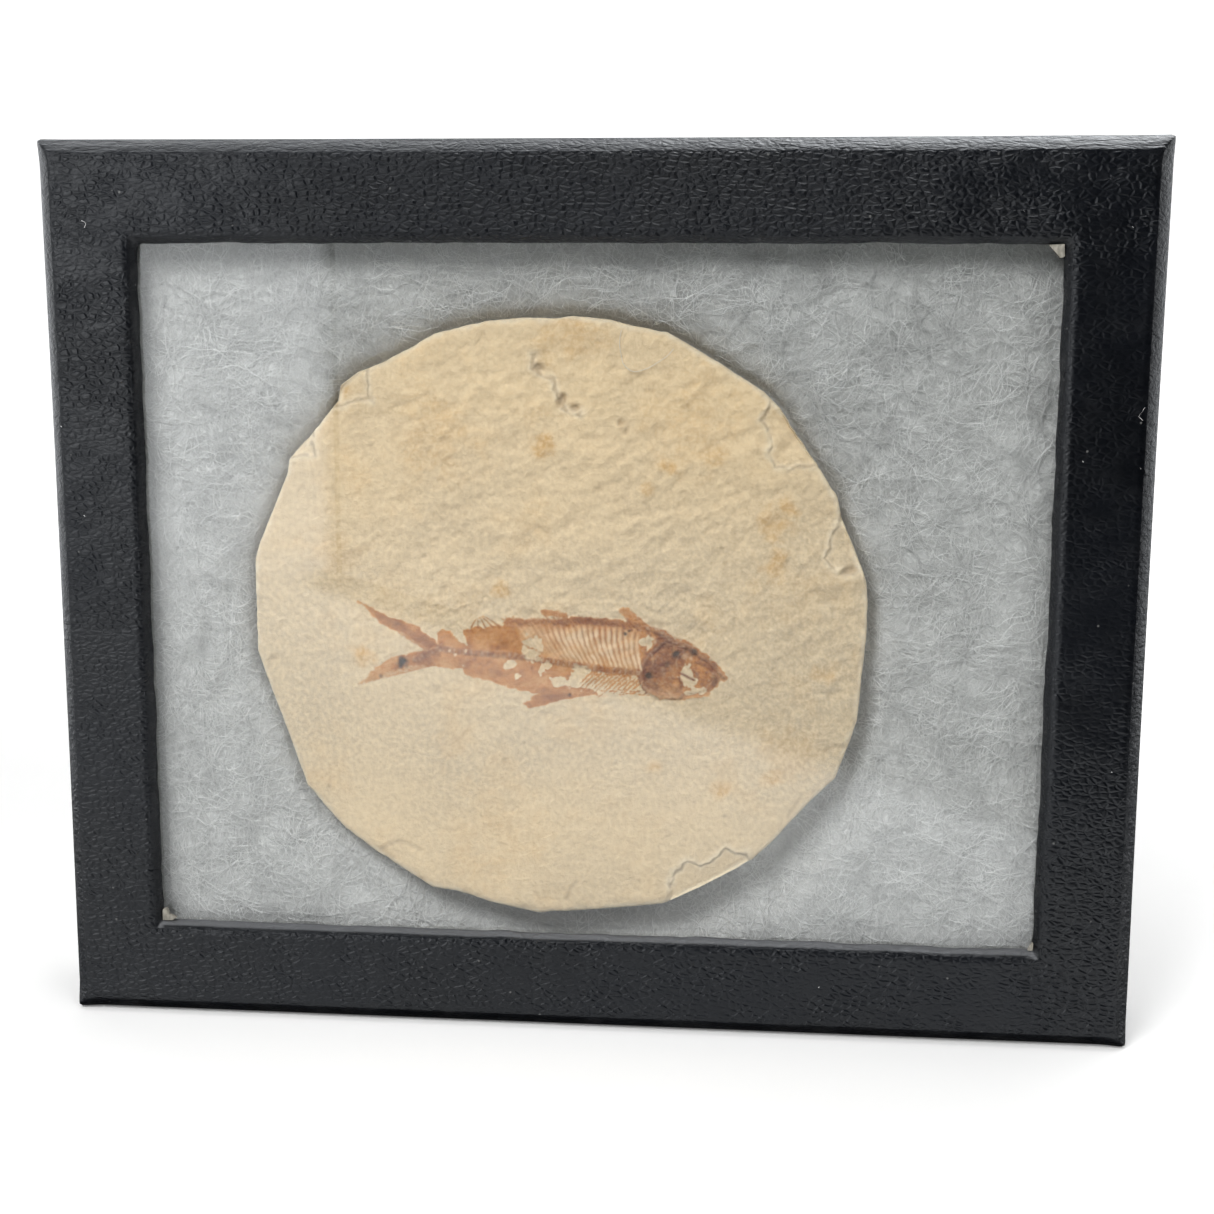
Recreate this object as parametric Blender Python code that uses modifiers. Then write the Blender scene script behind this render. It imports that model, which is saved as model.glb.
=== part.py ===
"""A fossil fish on a chipped limestone slab, in a glass-fronted display case.

The unit is the metre and +Z is up. The case stands on its lower long wall, with the origin at the
middle of that wall's footprint. The window faces -Y and the width runs along X.
Places on the slab are measured from the middle of the window: to the right along X, and up along Z.
"""

import math

import bmesh
import bpy
from mathutils import Matrix, Vector, noise

MM = 0.001

# The case
CASE_WIDTH = 140.0 * MM
CASE_HEIGHT = 115.0 * MM
CASE_DEPTH = 19.0 * MM
SHOULDER_RADIUS = 2.0 * MM
SHOULDER_SEGMENTS = 4
PANEL_THICKNESS = 1.7 * MM
LID_WALL = 1.6 * MM
WINDOW_WIDTH = 115.3 * MM
WINDOW_HEIGHT = 89.5 * MM
WINDOW_ROUND = 0.6 * MM
WINDOW_ROUND_STEPS = 3
GLASS_THICKNESS = 2.0 * MM
GLASS_CHAMFER = 0.2 * MM
TRAY_WALL = 1.2 * MM
TRAY_BASE = 1.3 * MM
GAP = 0.3 * MM
CUT_MARGIN = 2.0 * MM
WELD_DISTANCE = 0.01 * MM

# The batting, and how far its hollow stands off the slab: at the mouth, and at each share of its depth
BATTING_ROUND = 2.5 * MM
HOLLOW_MOUTH = 9.0 * MM
HOLLOW_FLARE = ((0.1, 4.0 * MM), (0.35, 1.8 * MM), (1.0, 0.8 * MM))

# The slab
SLAB_THICKNESS = 6.5 * MM
SLAB_BEHIND_GLASS = 0.9 * MM
SLAB_CENTRE = (-4.6 * MM, -3.7 * MM)
SLAB_OUTLINE = [
    (-44.5, 4.0), (-44.0, 6.0), (-42.2, 10.1), (-39.9, 15.4), (-39.6, 17.3), (-37.2, 20.0), (-35.1, 22.4),
    (-32.9, 25.0), (-32.6, 26.9), (-30.3, 28.6), (-27.2, 29.8), (-23.0, 32.0), (-20.3, 33.6), (-13.7, 35.2),
    (-8.7, 35.6), (-2.6, 35.8), (1.3, 35.6), (5.4, 34.6), (9.4, 33.9), (12.6, 32.1), (15.9, 30.2),
    (21.6, 26.6), (23.8, 24.5), (26.4, 20.6), (29.0, 16.9), (31.3, 13.3), (31.8, 10.8), (33.0, 8.1),
    (35.3, 2.5), (35.5, -0.3), (35.4, -5.0), (34.9, -10.4), (34.6, -15.6), (33.7, -18.4), (32.0, -23.4),
    (28.8, -26.6), (24.1, -32.1), (21.4, -34.9), (17.6, -37.1), (14.6, -38.8), (9.5, -41.4), (0.8, -42.4),
    (-6.9, -43.2), (-13.7, -41.9), (-18.1, -40.5), (-21.4, -40.1), (-25.2, -37.7), (-29.6, -34.9),
    (-33.1, -32.3), (-36.2, -28.8), (-38.3, -26.3), (-40.5, -19.6), (-43.3, -11.8), (-44.5, -8.1),
    (-44.6, -3.6),
]
# The rim, from the back to the front: share of the outline, depth behind the face, roughness of the chips
RIM_RINGS = (
    (0.945, SLAB_THICKNESS, 1.3 * MM),
    (0.975, 4.0 * MM, 1.1 * MM),
    (1.0, 0.9 * MM, 0.0),
    (0.991, 0.15 * MM, 0.25 * MM),
)
# The noise that chips the rim: changes per metre along the outline and per metre of depth, and its gain
CHIP_FREQUENCY = 400.0
CHIP_DEPTH_FREQUENCY = 900.0
CHIP_GAIN = 2.0
FACE_RINGS = (0.93, 0.8, 0.64, 0.48, 0.32, 0.16)
FACE_WAVE_HEIGHT = 0.1 * MM
FACE_WAVE_LENGTH = 9.0 * MM

# Flakes lost from the face: the step's edge, the far side of the flake, and the depth there
STEP_DEPTH = 0.42 * MM
RIM_DEPTH = 0.6 * MM
FADED_OUT = -0.25 * MM
FLAKES = {
    "upper_right": (
        [(22.2, 24.4), (21.4, 22.9), (22.5, 20.6), (22.4, 18.7), (23.4, 17.2), (24.8, 16.8), (26.4, 17.5),
         (28.1, 17.2)],
        [(34.0, 16.0), (32.0, 26.0), (25.0, 31.0)], RIM_DEPTH),
    "right": (
        [(32.0, 11.8), (31.2, 10.2), (30.4, 8.1), (29.8, 5.5), (30.5, 4.5), (33.0, 3.4)],
        [(38.0, 2.5), (37.0, 12.0)], RIM_DEPTH),
    "lower_right": (
        [(10.4, -38.4), (10.9, -36.9), (12.7, -35.0), (14.6, -35.7), (16.0, -34.8), (17.8, -32.9),
         (19.0, -34.0), (20.6, -33.6)],
        [(24.0, -40.0), (16.0, -44.0), (10.0, -43.0)], RIM_DEPTH),
    "upper_left": (
        [(-33.6, 24.0), (-32.0, 24.4), (-30.2, 25.2), (-28.5, 25.1), (-28.9, 27.2), (-28.6, 29.4)],
        [(-29.2, 33.0), (-38.0, 28.0)], RIM_DEPTH),
    "left": (
        [(-40.4, 17.4), (-38.3, 17.7), (-36.1, 17.8), (-36.6, 19.6), (-36.2, 21.2)],
        [(-38.4, 25.0), (-43.0, 19.0)], RIM_DEPTH),
    "ledge": (
        [(-7.8, 31.0), (-7.5, 29.3), (-6.2, 28.4), (-5.0, 28.1), (-4.6, 26.6), (-3.8, 24.3), (-2.5, 24.0),
         (-1.7, 23.5)],
        [(0.0, 24.8), (-1.6, 26.8), (-2.4, 29.2), (-5.0, 31.4)], FADED_OUT),
}
# Pits: place on the slab, half width, depth, how much longer than wide, and turn in degrees
PITS = (
    (-6.9, 29.3, 0.7, 0.55, 1.3, 20.0), (-3.9, 25.2, 0.6, 0.6, 1.9, 65.0), (-2.2, 24.3, 0.6, 0.55, 1.4, 10.0),
    (3.6, 22.5, 0.5, 0.3, 1.2, 40.0), (4.3, 21.4, 0.4, 0.25, 1.5, 80.0), (32.9, 3.9, 0.7, 0.75, 1.8, 25.0),
)
PIT_ROUGHNESS = 0.3
PIT_NOISE_FREQUENCY = 1.7

# The fish, belly up, tail on the left and snout on the right
RELIEF_FLATTENING = 0.55
BACKBONE = [(-23.2, -8.8), (-21.0, -7.6), (-20.2, -7.1), (-17.9, -7.5), (-14.0, -7.8), (-10.3, -8.0),
            (-5.8, -8.5), (-2.5, -9.0), (2.1, -9.6), (6.0, -9.8)]
VERTEBRA_COUNT = 34
VERTEBRA_RADII = (0.32 * MM, 0.48 * MM)
SCUTE_EDGE = [(-11.3, -3.1), (-6.4, -3.1), (-3.6, -3.0), (-1.0, -2.6), (1.3, -2.9), (4.0, -3.2), (7.3, -3.9)]
SCUTE_COUNT = 16
SCUTE_RADII = (0.24 * MM, 0.4 * MM)
RIB_COUNT = 21
RIB_TOP_RANGE = (-9.9, 5.9)
RIB_FOOT_RANGE = (-6.6, 6.3)
# The ribs' tops are level and then drop at the shoulder, and their feet follow the backbone
RIB_TOP_LEVEL = -3.6
RIB_TOP_DROP = 0.9
RIB_DROP_FROM = 0.75
RIB_FOOT_LEVEL = -8.0
RIB_FOOT_DROP = 1.5
RIB_BOW = 0.25
RIB_RADII = (0.2 * MM, 0.22 * MM, 0.16 * MM)
# Fans of fin rays: first ray's root and tip, last ray's root and tip, number of rays, root radius
FINS = {
    "tail_upper": ((-20.3, -6.9), (-30.8, -1.1), (-21.6, -7.5), (-24.6, -5.9), 5, 0.4 * MM),
    "tail_lower": ((-21.6, -7.8), (-25.6, -8.8), (-20.6, -9.4), (-31.0, -12.3), 5, 0.36 * MM),
    "anal": ((-15.8, -4.4), (-17.0, -4.0), (-12.0, -4.2), (-14.1, -2.8), 5, 0.2 * MM),
    "pelvic": ((-3.3, -2.8), (-6.5, -1.9), (-3.1, -2.6), (-4.4, -1.8), 4, 0.22 * MM),
    "pectoral": ((6.4, -3.8), (3.6, -1.6), (7.2, -3.8), (4.9, -1.4), 4, 0.26 * MM),
    "dorsal": ((-2.8, -13.0), (-8.0, -13.4), (-2.6, -13.2), (-7.6, -14.8), 6, 0.28 * MM),
}
FIN_RAY_TAPER = (1.0, 0.8, 0.45)
# Ridges of the skull: points and radii from end to end
SKULL_RIDGES = (
    ([(7.3, -4.0), (9.5, -4.6), (10.2, -5.4), (12.4, -6.1), (14.2, -7.3), (15.7, -8.5), (17.4, -10.3)],
     [0.3, 0.45, 0.5, 0.5, 0.42, 0.4, 0.22]),
    ([(9.9, -5.2), (8.7, -6.3), (7.6, -7.4), (6.8, -8.5), (6.4, -9.9), (6.7, -11.3), (7.6, -12.4),
      (8.9, -13.0)],
     [0.3, 0.36, 0.4, 0.42, 0.42, 0.4, 0.36, 0.3]),
    ([(8.7, -13.0), (10.4, -13.0), (11.8, -12.9)], [0.4, 0.46, 0.3]),
    ([(11.4, -12.6), (13.6, -12.3), (15.5, -11.8)], [0.22, 0.26, 0.2]),
    ([(11.3, -13.1), (13.0, -13.1), (14.9, -12.9)], [0.2, 0.22, 0.14]),
    ([(13.6, -8.3), (14.8, -8.6), (15.9, -9.5), (16.5, -10.6)], [0.26, 0.36, 0.42, 0.3]),
    ([(16.4, -10.4), (15.9, -11.3), (15.3, -12.0)], [0.34, 0.34, 0.24]),
    ([(11.5, -9.8), (12.5, -10.3), (13.4, -10.7)], [0.14, 0.2, 0.14]),
    ([(11.4, -10.4), (11.8, -11.2), (11.7, -11.9)], [0.16, 0.2, 0.14]),
)
# Rounded plates of the skull: place, half length, half height, relief and turn in degrees
SKULL_PLATES = (
    (8.4, -8.2, 1.9, 1.8, 0.36, 10.0), (9.6, -11.2, 2.2, 1.5, 0.3, -8.0), (11.2, -7.2, 1.3, 1.0, 0.34, -15.0),
    (13.4, -7.3, 1.2, 0.8, 0.32, -25.0), (14.6, -9.9, 1.1, 1.5, 0.3, 15.0), (9.9, -5.9, 1.6, 0.9, 0.3, -35.0),
    (7.5, -10.4, 0.6, 0.6, 0.42, 0.0),
)

# Worked out from the values above
FRONT = -CASE_DEPTH / 2
BACK = CASE_DEPTH / 2
WINDOW_MIDDLE = CASE_HEIGHT / 2
GLASS_FRONT = FRONT + PANEL_THICKNESS + GAP
GLASS_BACK = GLASS_FRONT + GLASS_THICKNESS
TRAY_FRONT = GLASS_BACK + GAP
SLAB_FRONT = GLASS_BACK + SLAB_BEHIND_GLASS
SLAB_BACK = SLAB_FRONT + SLAB_THICKNESS


def clear_scene():
    """Remove whatever the file holds."""
    for obj in list(bpy.data.objects):
        bpy.data.objects.remove(obj)


def make_collection(name):
    collection = bpy.data.collections.new(name)
    bpy.context.scene.collection.children.link(collection)
    return collection


def make_material(name, colour, roughness, transmission=0.0):
    material = bpy.data.materials.new(name)
    material.use_nodes = True
    shader = material.node_tree.nodes["Principled BSDF"]
    shader.inputs["Base Color"].default_value = (*colour, 1.0)
    shader.inputs["Roughness"].default_value = roughness
    shader.inputs["Metallic"].default_value = 0.0
    shader.inputs["Transmission Weight"].default_value = transmission
    return material


def finish_mesh(bm, name, collection, material=None):
    """Turn a bmesh into a named object with its faces pointing out."""
    bmesh.ops.recalc_face_normals(bm, faces=bm.faces)
    mesh = bpy.data.meshes.new(name)
    bm.to_mesh(mesh)
    bm.free()
    obj = bpy.data.objects.new(name, mesh)
    collection.objects.link(obj)
    if material:
        mesh.materials.append(material)
    return obj


def make_box(name, low, high, collection, material=None):
    """A box primitive between two corners."""
    bm = bmesh.new()
    low, high = Vector(low), Vector(high)
    bmesh.ops.create_cube(bm, size=1.0)
    bmesh.ops.scale(bm, vec=high - low, verts=bm.verts)
    bmesh.ops.translate(bm, vec=(low + high) / 2, verts=bm.verts)
    return finish_mesh(bm, name, collection, material)


def make_stack(name, rings, collection, material=None):
    """A closed solid made by extruding one outline through a list of rings of as many points."""
    bm = bmesh.new()
    face = bm.faces.new([bm.verts.new(point) for point in rings[0]])
    first = face
    for ring in rings[1:]:
        made = bmesh.ops.extrude_face_region(bm, geom=[face])
        if face is not first:
            bmesh.ops.delete(bm, geom=[face], context="FACES_ONLY")
        face = next(item for item in made["geom"] if isinstance(item, bmesh.types.BMFace))
        for vert, point in zip(face.verts, ring):
            vert.co = point
    bmesh.ops.triangulate(bm, faces=bm.faces)
    return finish_mesh(bm, name, collection, material)


def hide_cutter(obj):
    obj.hide_render = True
    obj.display_type = "WIRE"


def add_boolean(obj, other, operation, crossing=False):
    """Join or cut with another object, which then counts as a cutter."""
    modifier = obj.modifiers.new(other.name, "BOOLEAN")
    modifier.operation = operation
    modifier.solver = "EXACT"
    modifier.use_self = crossing
    modifier.object = other
    hide_cutter(other)


def rectangle(half_width, half_height, y):
    """The four corners of an upright rectangle about the middle of the window."""
    corners = ((-1, -1), (1, -1), (1, 1), (-1, 1))
    return [Vector((sx * half_width, y, WINDOW_MIDDLE + sz * half_height)) for sx, sz in corners]


def make_lid(parts, cutters, material):
    """The covered board cover: a front panel with its window, and four walls."""
    bm = bmesh.new()
    bmesh.ops.create_cube(bm, size=1.0)
    bmesh.ops.scale(bm, vec=(CASE_WIDTH, CASE_DEPTH, CASE_HEIGHT), verts=bm.verts)
    bmesh.ops.translate(bm, vec=(0, 0, CASE_HEIGHT / 2), verts=bm.verts)
    front_edges = [e for e in bm.edges if all(abs(v.co.y - FRONT) < WELD_DISTANCE for v in e.verts)]
    bmesh.ops.bevel(
        bm, geom=front_edges, offset=SHOULDER_RADIUS, segments=SHOULDER_SEGMENTS,
        profile=0.5, affect="EDGES", clamp_overlap=True,
    )
    lid = finish_mesh(bm, "lid", parts, material)

    cavity = make_box(
        "lid_cavity",
        (-CASE_WIDTH / 2 + LID_WALL, FRONT + PANEL_THICKNESS, LID_WALL),
        (CASE_WIDTH / 2 - LID_WALL, BACK + CUT_MARGIN, CASE_HEIGHT - LID_WALL),
        cutters,
    )
    half_width, half_height = WINDOW_WIDTH / 2, WINDOW_HEIGHT / 2
    rings = [
        rectangle(half_width, half_height, FRONT + PANEL_THICKNESS + CUT_MARGIN),
        rectangle(half_width, half_height, FRONT + WINDOW_ROUND),
    ]
    for step in range(1, WINDOW_ROUND_STEPS + 1):
        angle = math.radians(90) * (1 - step / WINDOW_ROUND_STEPS)
        outward = WINDOW_ROUND * (1 - math.sin(angle))
        depth = WINDOW_ROUND * (1 - math.cos(angle))
        rings.append(rectangle(half_width + outward, half_height + outward, FRONT + depth))
    rings.append(rectangle(half_width + WINDOW_ROUND, half_height + WINDOW_ROUND, FRONT - CUT_MARGIN))
    window = make_stack("window_cutter", rings, cutters)
    add_boolean(lid, cavity, "DIFFERENCE")
    add_boolean(lid, window, "DIFFERENCE")
    return lid


def make_glass(parts, material):
    """The flat pane that lies behind the front panel."""
    inset = LID_WALL + GAP
    glass = make_box(
        "glass",
        (-CASE_WIDTH / 2 + inset, GLASS_FRONT, inset),
        (CASE_WIDTH / 2 - inset, GLASS_BACK, CASE_HEIGHT - inset),
        parts, material,
    )
    bevel = glass.modifiers.new("ground_edges", "BEVEL")
    bevel.width = GLASS_CHAMFER
    bevel.segments = 1
    return glass


def make_tray(parts, cutters, material):
    """The shallow board tray that closes the back."""
    outer = LID_WALL + GAP
    inner = outer + TRAY_WALL
    tray = make_box(
        "tray",
        (-CASE_WIDTH / 2 + outer, TRAY_FRONT, outer),
        (CASE_WIDTH / 2 - outer, BACK, CASE_HEIGHT - outer),
        parts, material,
    )
    hollow = make_box(
        "tray_hollow",
        (-CASE_WIDTH / 2 + inner, TRAY_FRONT - CUT_MARGIN, inner),
        (CASE_WIDTH / 2 - inner, BACK - TRAY_BASE, CASE_HEIGHT - inner),
        cutters,
    )
    add_boolean(tray, hollow, "DIFFERENCE")
    return tray


def on_slab(x, z, y):
    """A place on the slab, given in millimetres from the middle of the window."""
    return Vector((x * MM, y, WINDOW_MIDDLE + z * MM))


def outline_ring(share, y, stand_off=0.0, chips=0.0, wave=0.0):
    """The slab's outline drawn in towards its centre, stood off outwards, chipped and waved."""
    ring = []
    for x, z in SLAB_OUTLINE:
        offset = Vector((x * MM - SLAB_CENTRE[0], 0.0, z * MM - SLAB_CENTRE[1]))
        seed = offset * CHIP_FREQUENCY + Vector((0.0, y * CHIP_DEPTH_FREQUENCY, 0.0))
        inward = chips * abs(noise.noise(seed)) * CHIP_GAIN
        reach = offset.length * share + stand_off - inward
        place = offset.normalized() * reach
        point = Vector((SLAB_CENTRE[0] + place.x, y, WINDOW_MIDDLE + SLAB_CENTRE[1] + place.z))
        point.y += wave * noise.noise(Vector((point.x, 0.0, point.z)) / FACE_WAVE_LENGTH)
        ring.append(point)
    return ring


def make_batting(parts, cutters, material):
    """The felted pad, with the hollow that the slab presses into it."""
    inset = LID_WALL + GAP + TRAY_WALL + GAP
    back = BACK - TRAY_BASE - GAP
    batting = make_box(
        "batting",
        (-CASE_WIDTH / 2 + inset, TRAY_FRONT, inset),
        (CASE_WIDTH / 2 - inset, back, CASE_HEIGHT - inset),
        parts, material,
    )
    bevel = batting.modifiers.new("soft_edges", "BEVEL")
    bevel.width = BATTING_ROUND
    bevel.segments = 3
    floor = SLAB_BACK + GAP
    rings = [outline_ring(1.0, TRAY_FRONT - CUT_MARGIN, stand_off=HOLLOW_MOUTH)]
    for share, stand_off in HOLLOW_FLARE:
        rings.append(outline_ring(1.0, TRAY_FRONT + share * (floor - TRAY_FRONT), stand_off=stand_off))
    hollow = make_stack("slab_hollow", rings, cutters)
    add_boolean(batting, hollow, "DIFFERENCE")
    return batting


def along(points, share):
    """The place at a share of the way along a line of points."""
    lengths = [math.dist(a, b) for a, b in zip(points, points[1:])]
    left = share * sum(lengths)
    for (a, b), length in zip(zip(points, points[1:]), lengths):
        if left <= length:
            return (a[0] + (b[0] - a[0]) * left / length, a[1] + (b[1] - a[1]) * left / length)
        left -= length
    return points[-1]


def lerp(a, b, share):
    return tuple(p + (q - p) * share for p, q in zip(a, b))


def beaded_ridge(points, count, radii):
    """A ridge that swells and narrows: a row of vertebrae or of scutes."""
    path = [along(points, index / (2 * count)) for index in range(2 * count + 1)]
    return path, [radii[index % 2] for index in range(len(path))]


def rib(index):
    """One rib, from the belly edge to the backbone. The rear ones slant more."""
    share = index / (RIB_COUNT - 1)
    top_x = RIB_TOP_RANGE[0] + (RIB_TOP_RANGE[1] - RIB_TOP_RANGE[0]) * share
    foot_x = RIB_FOOT_RANGE[0] + (RIB_FOOT_RANGE[1] - RIB_FOOT_RANGE[0]) * share
    dropped = max(0.0, share - RIB_DROP_FROM) / (1.0 - RIB_DROP_FROM)
    top = (top_x, RIB_TOP_LEVEL - RIB_TOP_DROP * dropped)
    foot = (foot_x, RIB_FOOT_LEVEL - RIB_FOOT_DROP * share)
    middle = lerp(top, foot, 0.5)
    return [top, (middle[0] - RIB_BOW, middle[1] - RIB_BOW), foot], RIB_RADII


def fin_rays(first_root, first_tip, last_root, last_tip, count, radius):
    """A fan of rays between its first and its last one."""
    for index in range(count):
        share = index / (count - 1)
        root = lerp(first_root, last_root, share)
        tip = lerp(first_tip, last_tip, share)
        yield [root, lerp(root, tip, 0.5), tip], [radius * taper for taper in FIN_RAY_TAPER]


def fish_ridges():
    """Every ridge of bone, as its points in millimetres and its radii."""
    yield beaded_ridge(BACKBONE, VERTEBRA_COUNT, VERTEBRA_RADII)
    yield beaded_ridge(SCUTE_EDGE, SCUTE_COUNT, SCUTE_RADII)
    for index in range(RIB_COUNT):
        yield rib(index)
    for fan in FINS.values():
        yield from fin_rays(*fan)
    for points, radii in SKULL_RIDGES:
        yield points, [radius * MM for radius in radii]


def make_ridge_mesh(ridges, cutters):
    """All the ridges as round bars that lie in the slab's face, flattened to low relief."""
    curve = bpy.data.curves.new("fish_bones", "CURVE")
    curve.dimensions = "2D"
    curve.bevel_depth = 1.0
    curve.bevel_resolution = 1
    curve.use_fill_caps = True
    for points, radii in ridges:
        spline = curve.splines.new("POLY")
        spline.points.add(len(points) - 1)
        for target, (x, z), radius in zip(spline.points, points, radii):
            target.co = (x * MM, z * MM, 0.0, 1.0)
            target.radius = radius
    source = bpy.data.objects.new("fish_bone_curves", curve)
    cutters.objects.link(source)
    bpy.context.view_layer.update()
    evaluated = source.evaluated_get(bpy.context.evaluated_depsgraph_get())
    bm = bmesh.new()
    bm.from_mesh(bpy.data.meshes.new_from_object(evaluated))
    bpy.data.objects.remove(source)
    bmesh.ops.remove_doubles(bm, verts=bm.verts, dist=WELD_DISTANCE)
    flatten = Matrix.Diagonal((1.0, 1.0, RELIEF_FLATTENING, 1.0))
    upright = Matrix.Rotation(math.radians(90), 4, "X")
    place = Matrix.Translation((0.0, SLAB_FRONT, WINDOW_MIDDLE))
    bmesh.ops.transform(bm, matrix=place @ upright @ flatten, verts=bm.verts)
    return finish_mesh(bm, "fish_bones", cutters)


def make_dome(name, place, half_length, half_height, depth, turn, cutters, roughness=0.0):
    """A flattened ball with its middle in the slab's face: a plate of bone, or a pit."""
    bm = bmesh.new()
    bmesh.ops.create_icosphere(bm, subdivisions=2, radius=1.0)
    for vert in bm.verts:
        vert.co *= 1.0 + roughness * noise.noise(vert.co * PIT_NOISE_FREQUENCY + place / MM)
    size = Matrix.Diagonal((half_length * MM, depth * MM, half_height * MM, 1.0))
    turned = Matrix.Rotation(math.radians(-turn), 4, "Y")
    bmesh.ops.transform(bm, matrix=Matrix.Translation(place) @ turned @ size, verts=bm.verts)
    return finish_mesh(bm, name, cutters)


def make_flake(name, step, far_side, far_depth, cutters):
    """The piece of face that came away beyond a ragged step."""
    outline = [(point, STEP_DEPTH) for point in step] + [(point, far_depth) for point in far_side]
    above = [on_slab(x, z, SLAB_FRONT - CUT_MARGIN) for (x, z), depth in outline]
    floor = [on_slab(x, z, SLAB_FRONT + depth) for (x, z), depth in outline]
    return make_stack("flake_" + name, [above, floor], cutters)


def make_slab(parts, cutters, material):
    """The limestone with its chipped rim, flake steps and pits, and the fish's bones in low relief."""
    rings = [outline_ring(share, SLAB_FRONT + depth, chips=chips) for share, depth, chips in RIM_RINGS]
    rings += [outline_ring(share, SLAB_FRONT, wave=FACE_WAVE_HEIGHT) for share in FACE_RINGS]
    slab = make_stack("slab", rings, parts, material)
    for name, (step, far_side, far_depth) in FLAKES.items():
        add_boolean(slab, make_flake(name, step, far_side, far_depth, cutters), "DIFFERENCE")
    for index, (x, z, half_width, depth, stretch, turn) in enumerate(PITS):
        pit = make_dome(
            f"pit_{index}", on_slab(x, z, SLAB_FRONT), half_width * stretch, half_width, depth, turn,
            cutters, PIT_ROUGHNESS,
        )
        add_boolean(slab, pit, "DIFFERENCE")
    for index, (x, z, *plate) in enumerate(SKULL_PLATES):
        dome = make_dome(f"skull_plate_{index}", on_slab(x, z, SLAB_FRONT), *plate, cutters)
        add_boolean(slab, dome, "UNION")
    add_boolean(slab, make_ridge_mesh(fish_ridges(), cutters), "UNION", crossing=True)
    return slab


def main():
    clear_scene()
    parts = make_collection("fossil_fish_case")
    cutters = make_collection("cutters")
    leatherette = make_material("leatherette", (0.018, 0.02, 0.024), 0.5)
    pane = make_material("pane", (0.95, 0.98, 0.97), 0.03, transmission=1.0)
    black_board = make_material("black_board", (0.02, 0.021, 0.024), 0.7)
    polyester = make_material("polyester", (0.72, 0.74, 0.76), 0.95)
    limestone = make_material("limestone", (0.72, 0.6, 0.43), 0.9)
    make_lid(parts, cutters, leatherette)
    make_glass(parts, pane)
    make_tray(parts, cutters, black_board)
    make_batting(parts, cutters, polyester)
    make_slab(parts, cutters, limestone)


main()
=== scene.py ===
"""Looks of a fossil fish in its glass-fronted display case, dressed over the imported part.

The unit is the metre, +Z is up and the window faces -Y. Names that end in _MM are in millimetres.
Places on the slab are measured from the middle of the window: to the right along X, and up along Z.
"""

import math

import bmesh
import bpy
import numpy as np
from bpy.props import FloatProperty, FloatVectorProperty, IntProperty, PointerProperty
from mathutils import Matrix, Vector


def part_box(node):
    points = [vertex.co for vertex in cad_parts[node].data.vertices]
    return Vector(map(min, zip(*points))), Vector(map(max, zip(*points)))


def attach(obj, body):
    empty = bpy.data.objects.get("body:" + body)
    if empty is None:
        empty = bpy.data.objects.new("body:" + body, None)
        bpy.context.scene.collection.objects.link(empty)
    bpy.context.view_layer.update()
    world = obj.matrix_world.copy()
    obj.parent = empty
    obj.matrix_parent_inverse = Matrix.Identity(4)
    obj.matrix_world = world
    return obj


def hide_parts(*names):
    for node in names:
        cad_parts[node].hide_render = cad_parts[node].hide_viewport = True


bl_info = {
    "name": "Fossil fish in a display case",
    "version": (1, 0, 0),
    "blender": (4, 5, 0),
    "location": "3D View > Sidebar > Fossil",
    "description": "Builds the looks of a fossil fish slab in its glazed case over the packed part",
    "category": "Object",
}

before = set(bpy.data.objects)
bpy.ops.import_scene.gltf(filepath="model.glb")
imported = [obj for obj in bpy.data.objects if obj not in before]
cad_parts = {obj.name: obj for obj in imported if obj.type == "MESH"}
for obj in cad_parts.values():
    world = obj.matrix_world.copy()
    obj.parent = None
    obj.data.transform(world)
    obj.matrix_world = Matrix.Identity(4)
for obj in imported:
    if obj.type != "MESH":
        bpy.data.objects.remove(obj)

MM = 0.001
# Two places nearer than this, in metres, are one
TOUCH = 1e-6

# The case, read from the frame
CASE_LOW, CASE_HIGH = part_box("lid")
TRAY_LOW, TRAY_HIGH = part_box("tray")
BATTING_LOW, BATTING_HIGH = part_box("batting")
MIDDLE = (CASE_LOW.z + CASE_HIGH.z) / 2
HALF_X, HALF_Z = CASE_HIGH.x, (CASE_HIGH.z - CASE_LOW.z) / 2
FRONT, BACK = CASE_LOW.y, CASE_HIGH.y
WINDOW_WIDTH_MM = 115.3
WINDOW_HEIGHT_MM = 89.5
WINDOW_X, WINDOW_Z = WINDOW_WIDTH_MM / 2 * MM, WINDOW_HEIGHT_MM / 2 * MM

# The lid: its front panel, its walls, the lip that turns over the window's edge, and the rim's edge
PANEL = 1.7 * MM
LID_WALL = 1.6 * MM
LIP = 0.95 * MM
LIP_DEPTH = 1.4 * MM
RIM_EDGE = 0.2 * MM
CORNER_ROUND = 0.7 * MM
# Edges of the loop that are longer than this are cut
LOOP_EDGE = 0.9 * MM
# How far the rounded edges are flattened, from 0, round, to 1, straight
FACET = 0.75
# Cuts along each long and each short side of the loop that the lid's section is swept from
LONG_CUTS = (13, 13)
SHORT_CUTS = (11, 13)

# Bits of bare board in the corners of the window
BOARD_BEHIND_FRONT = 0.95 * MM
BOARD_THICKNESS = 0.7 * MM
BARE_CORNERS = (
    [(55.6, 44.6), (57.5, 44.7), (57.6, 43.2), (57.1, 43.0), (56.4, 43.8)],
    [(-57.6, -43.2), (-57.0, -43.0), (-56.7, -43.9), (-55.7, -44.3), (-56.3, -44.7), (-57.6, -44.7)],
    [(57.6, -44.7), (57.6, -43.6), (57.3, -43.9), (56.9, -44.7)],
)
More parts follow.
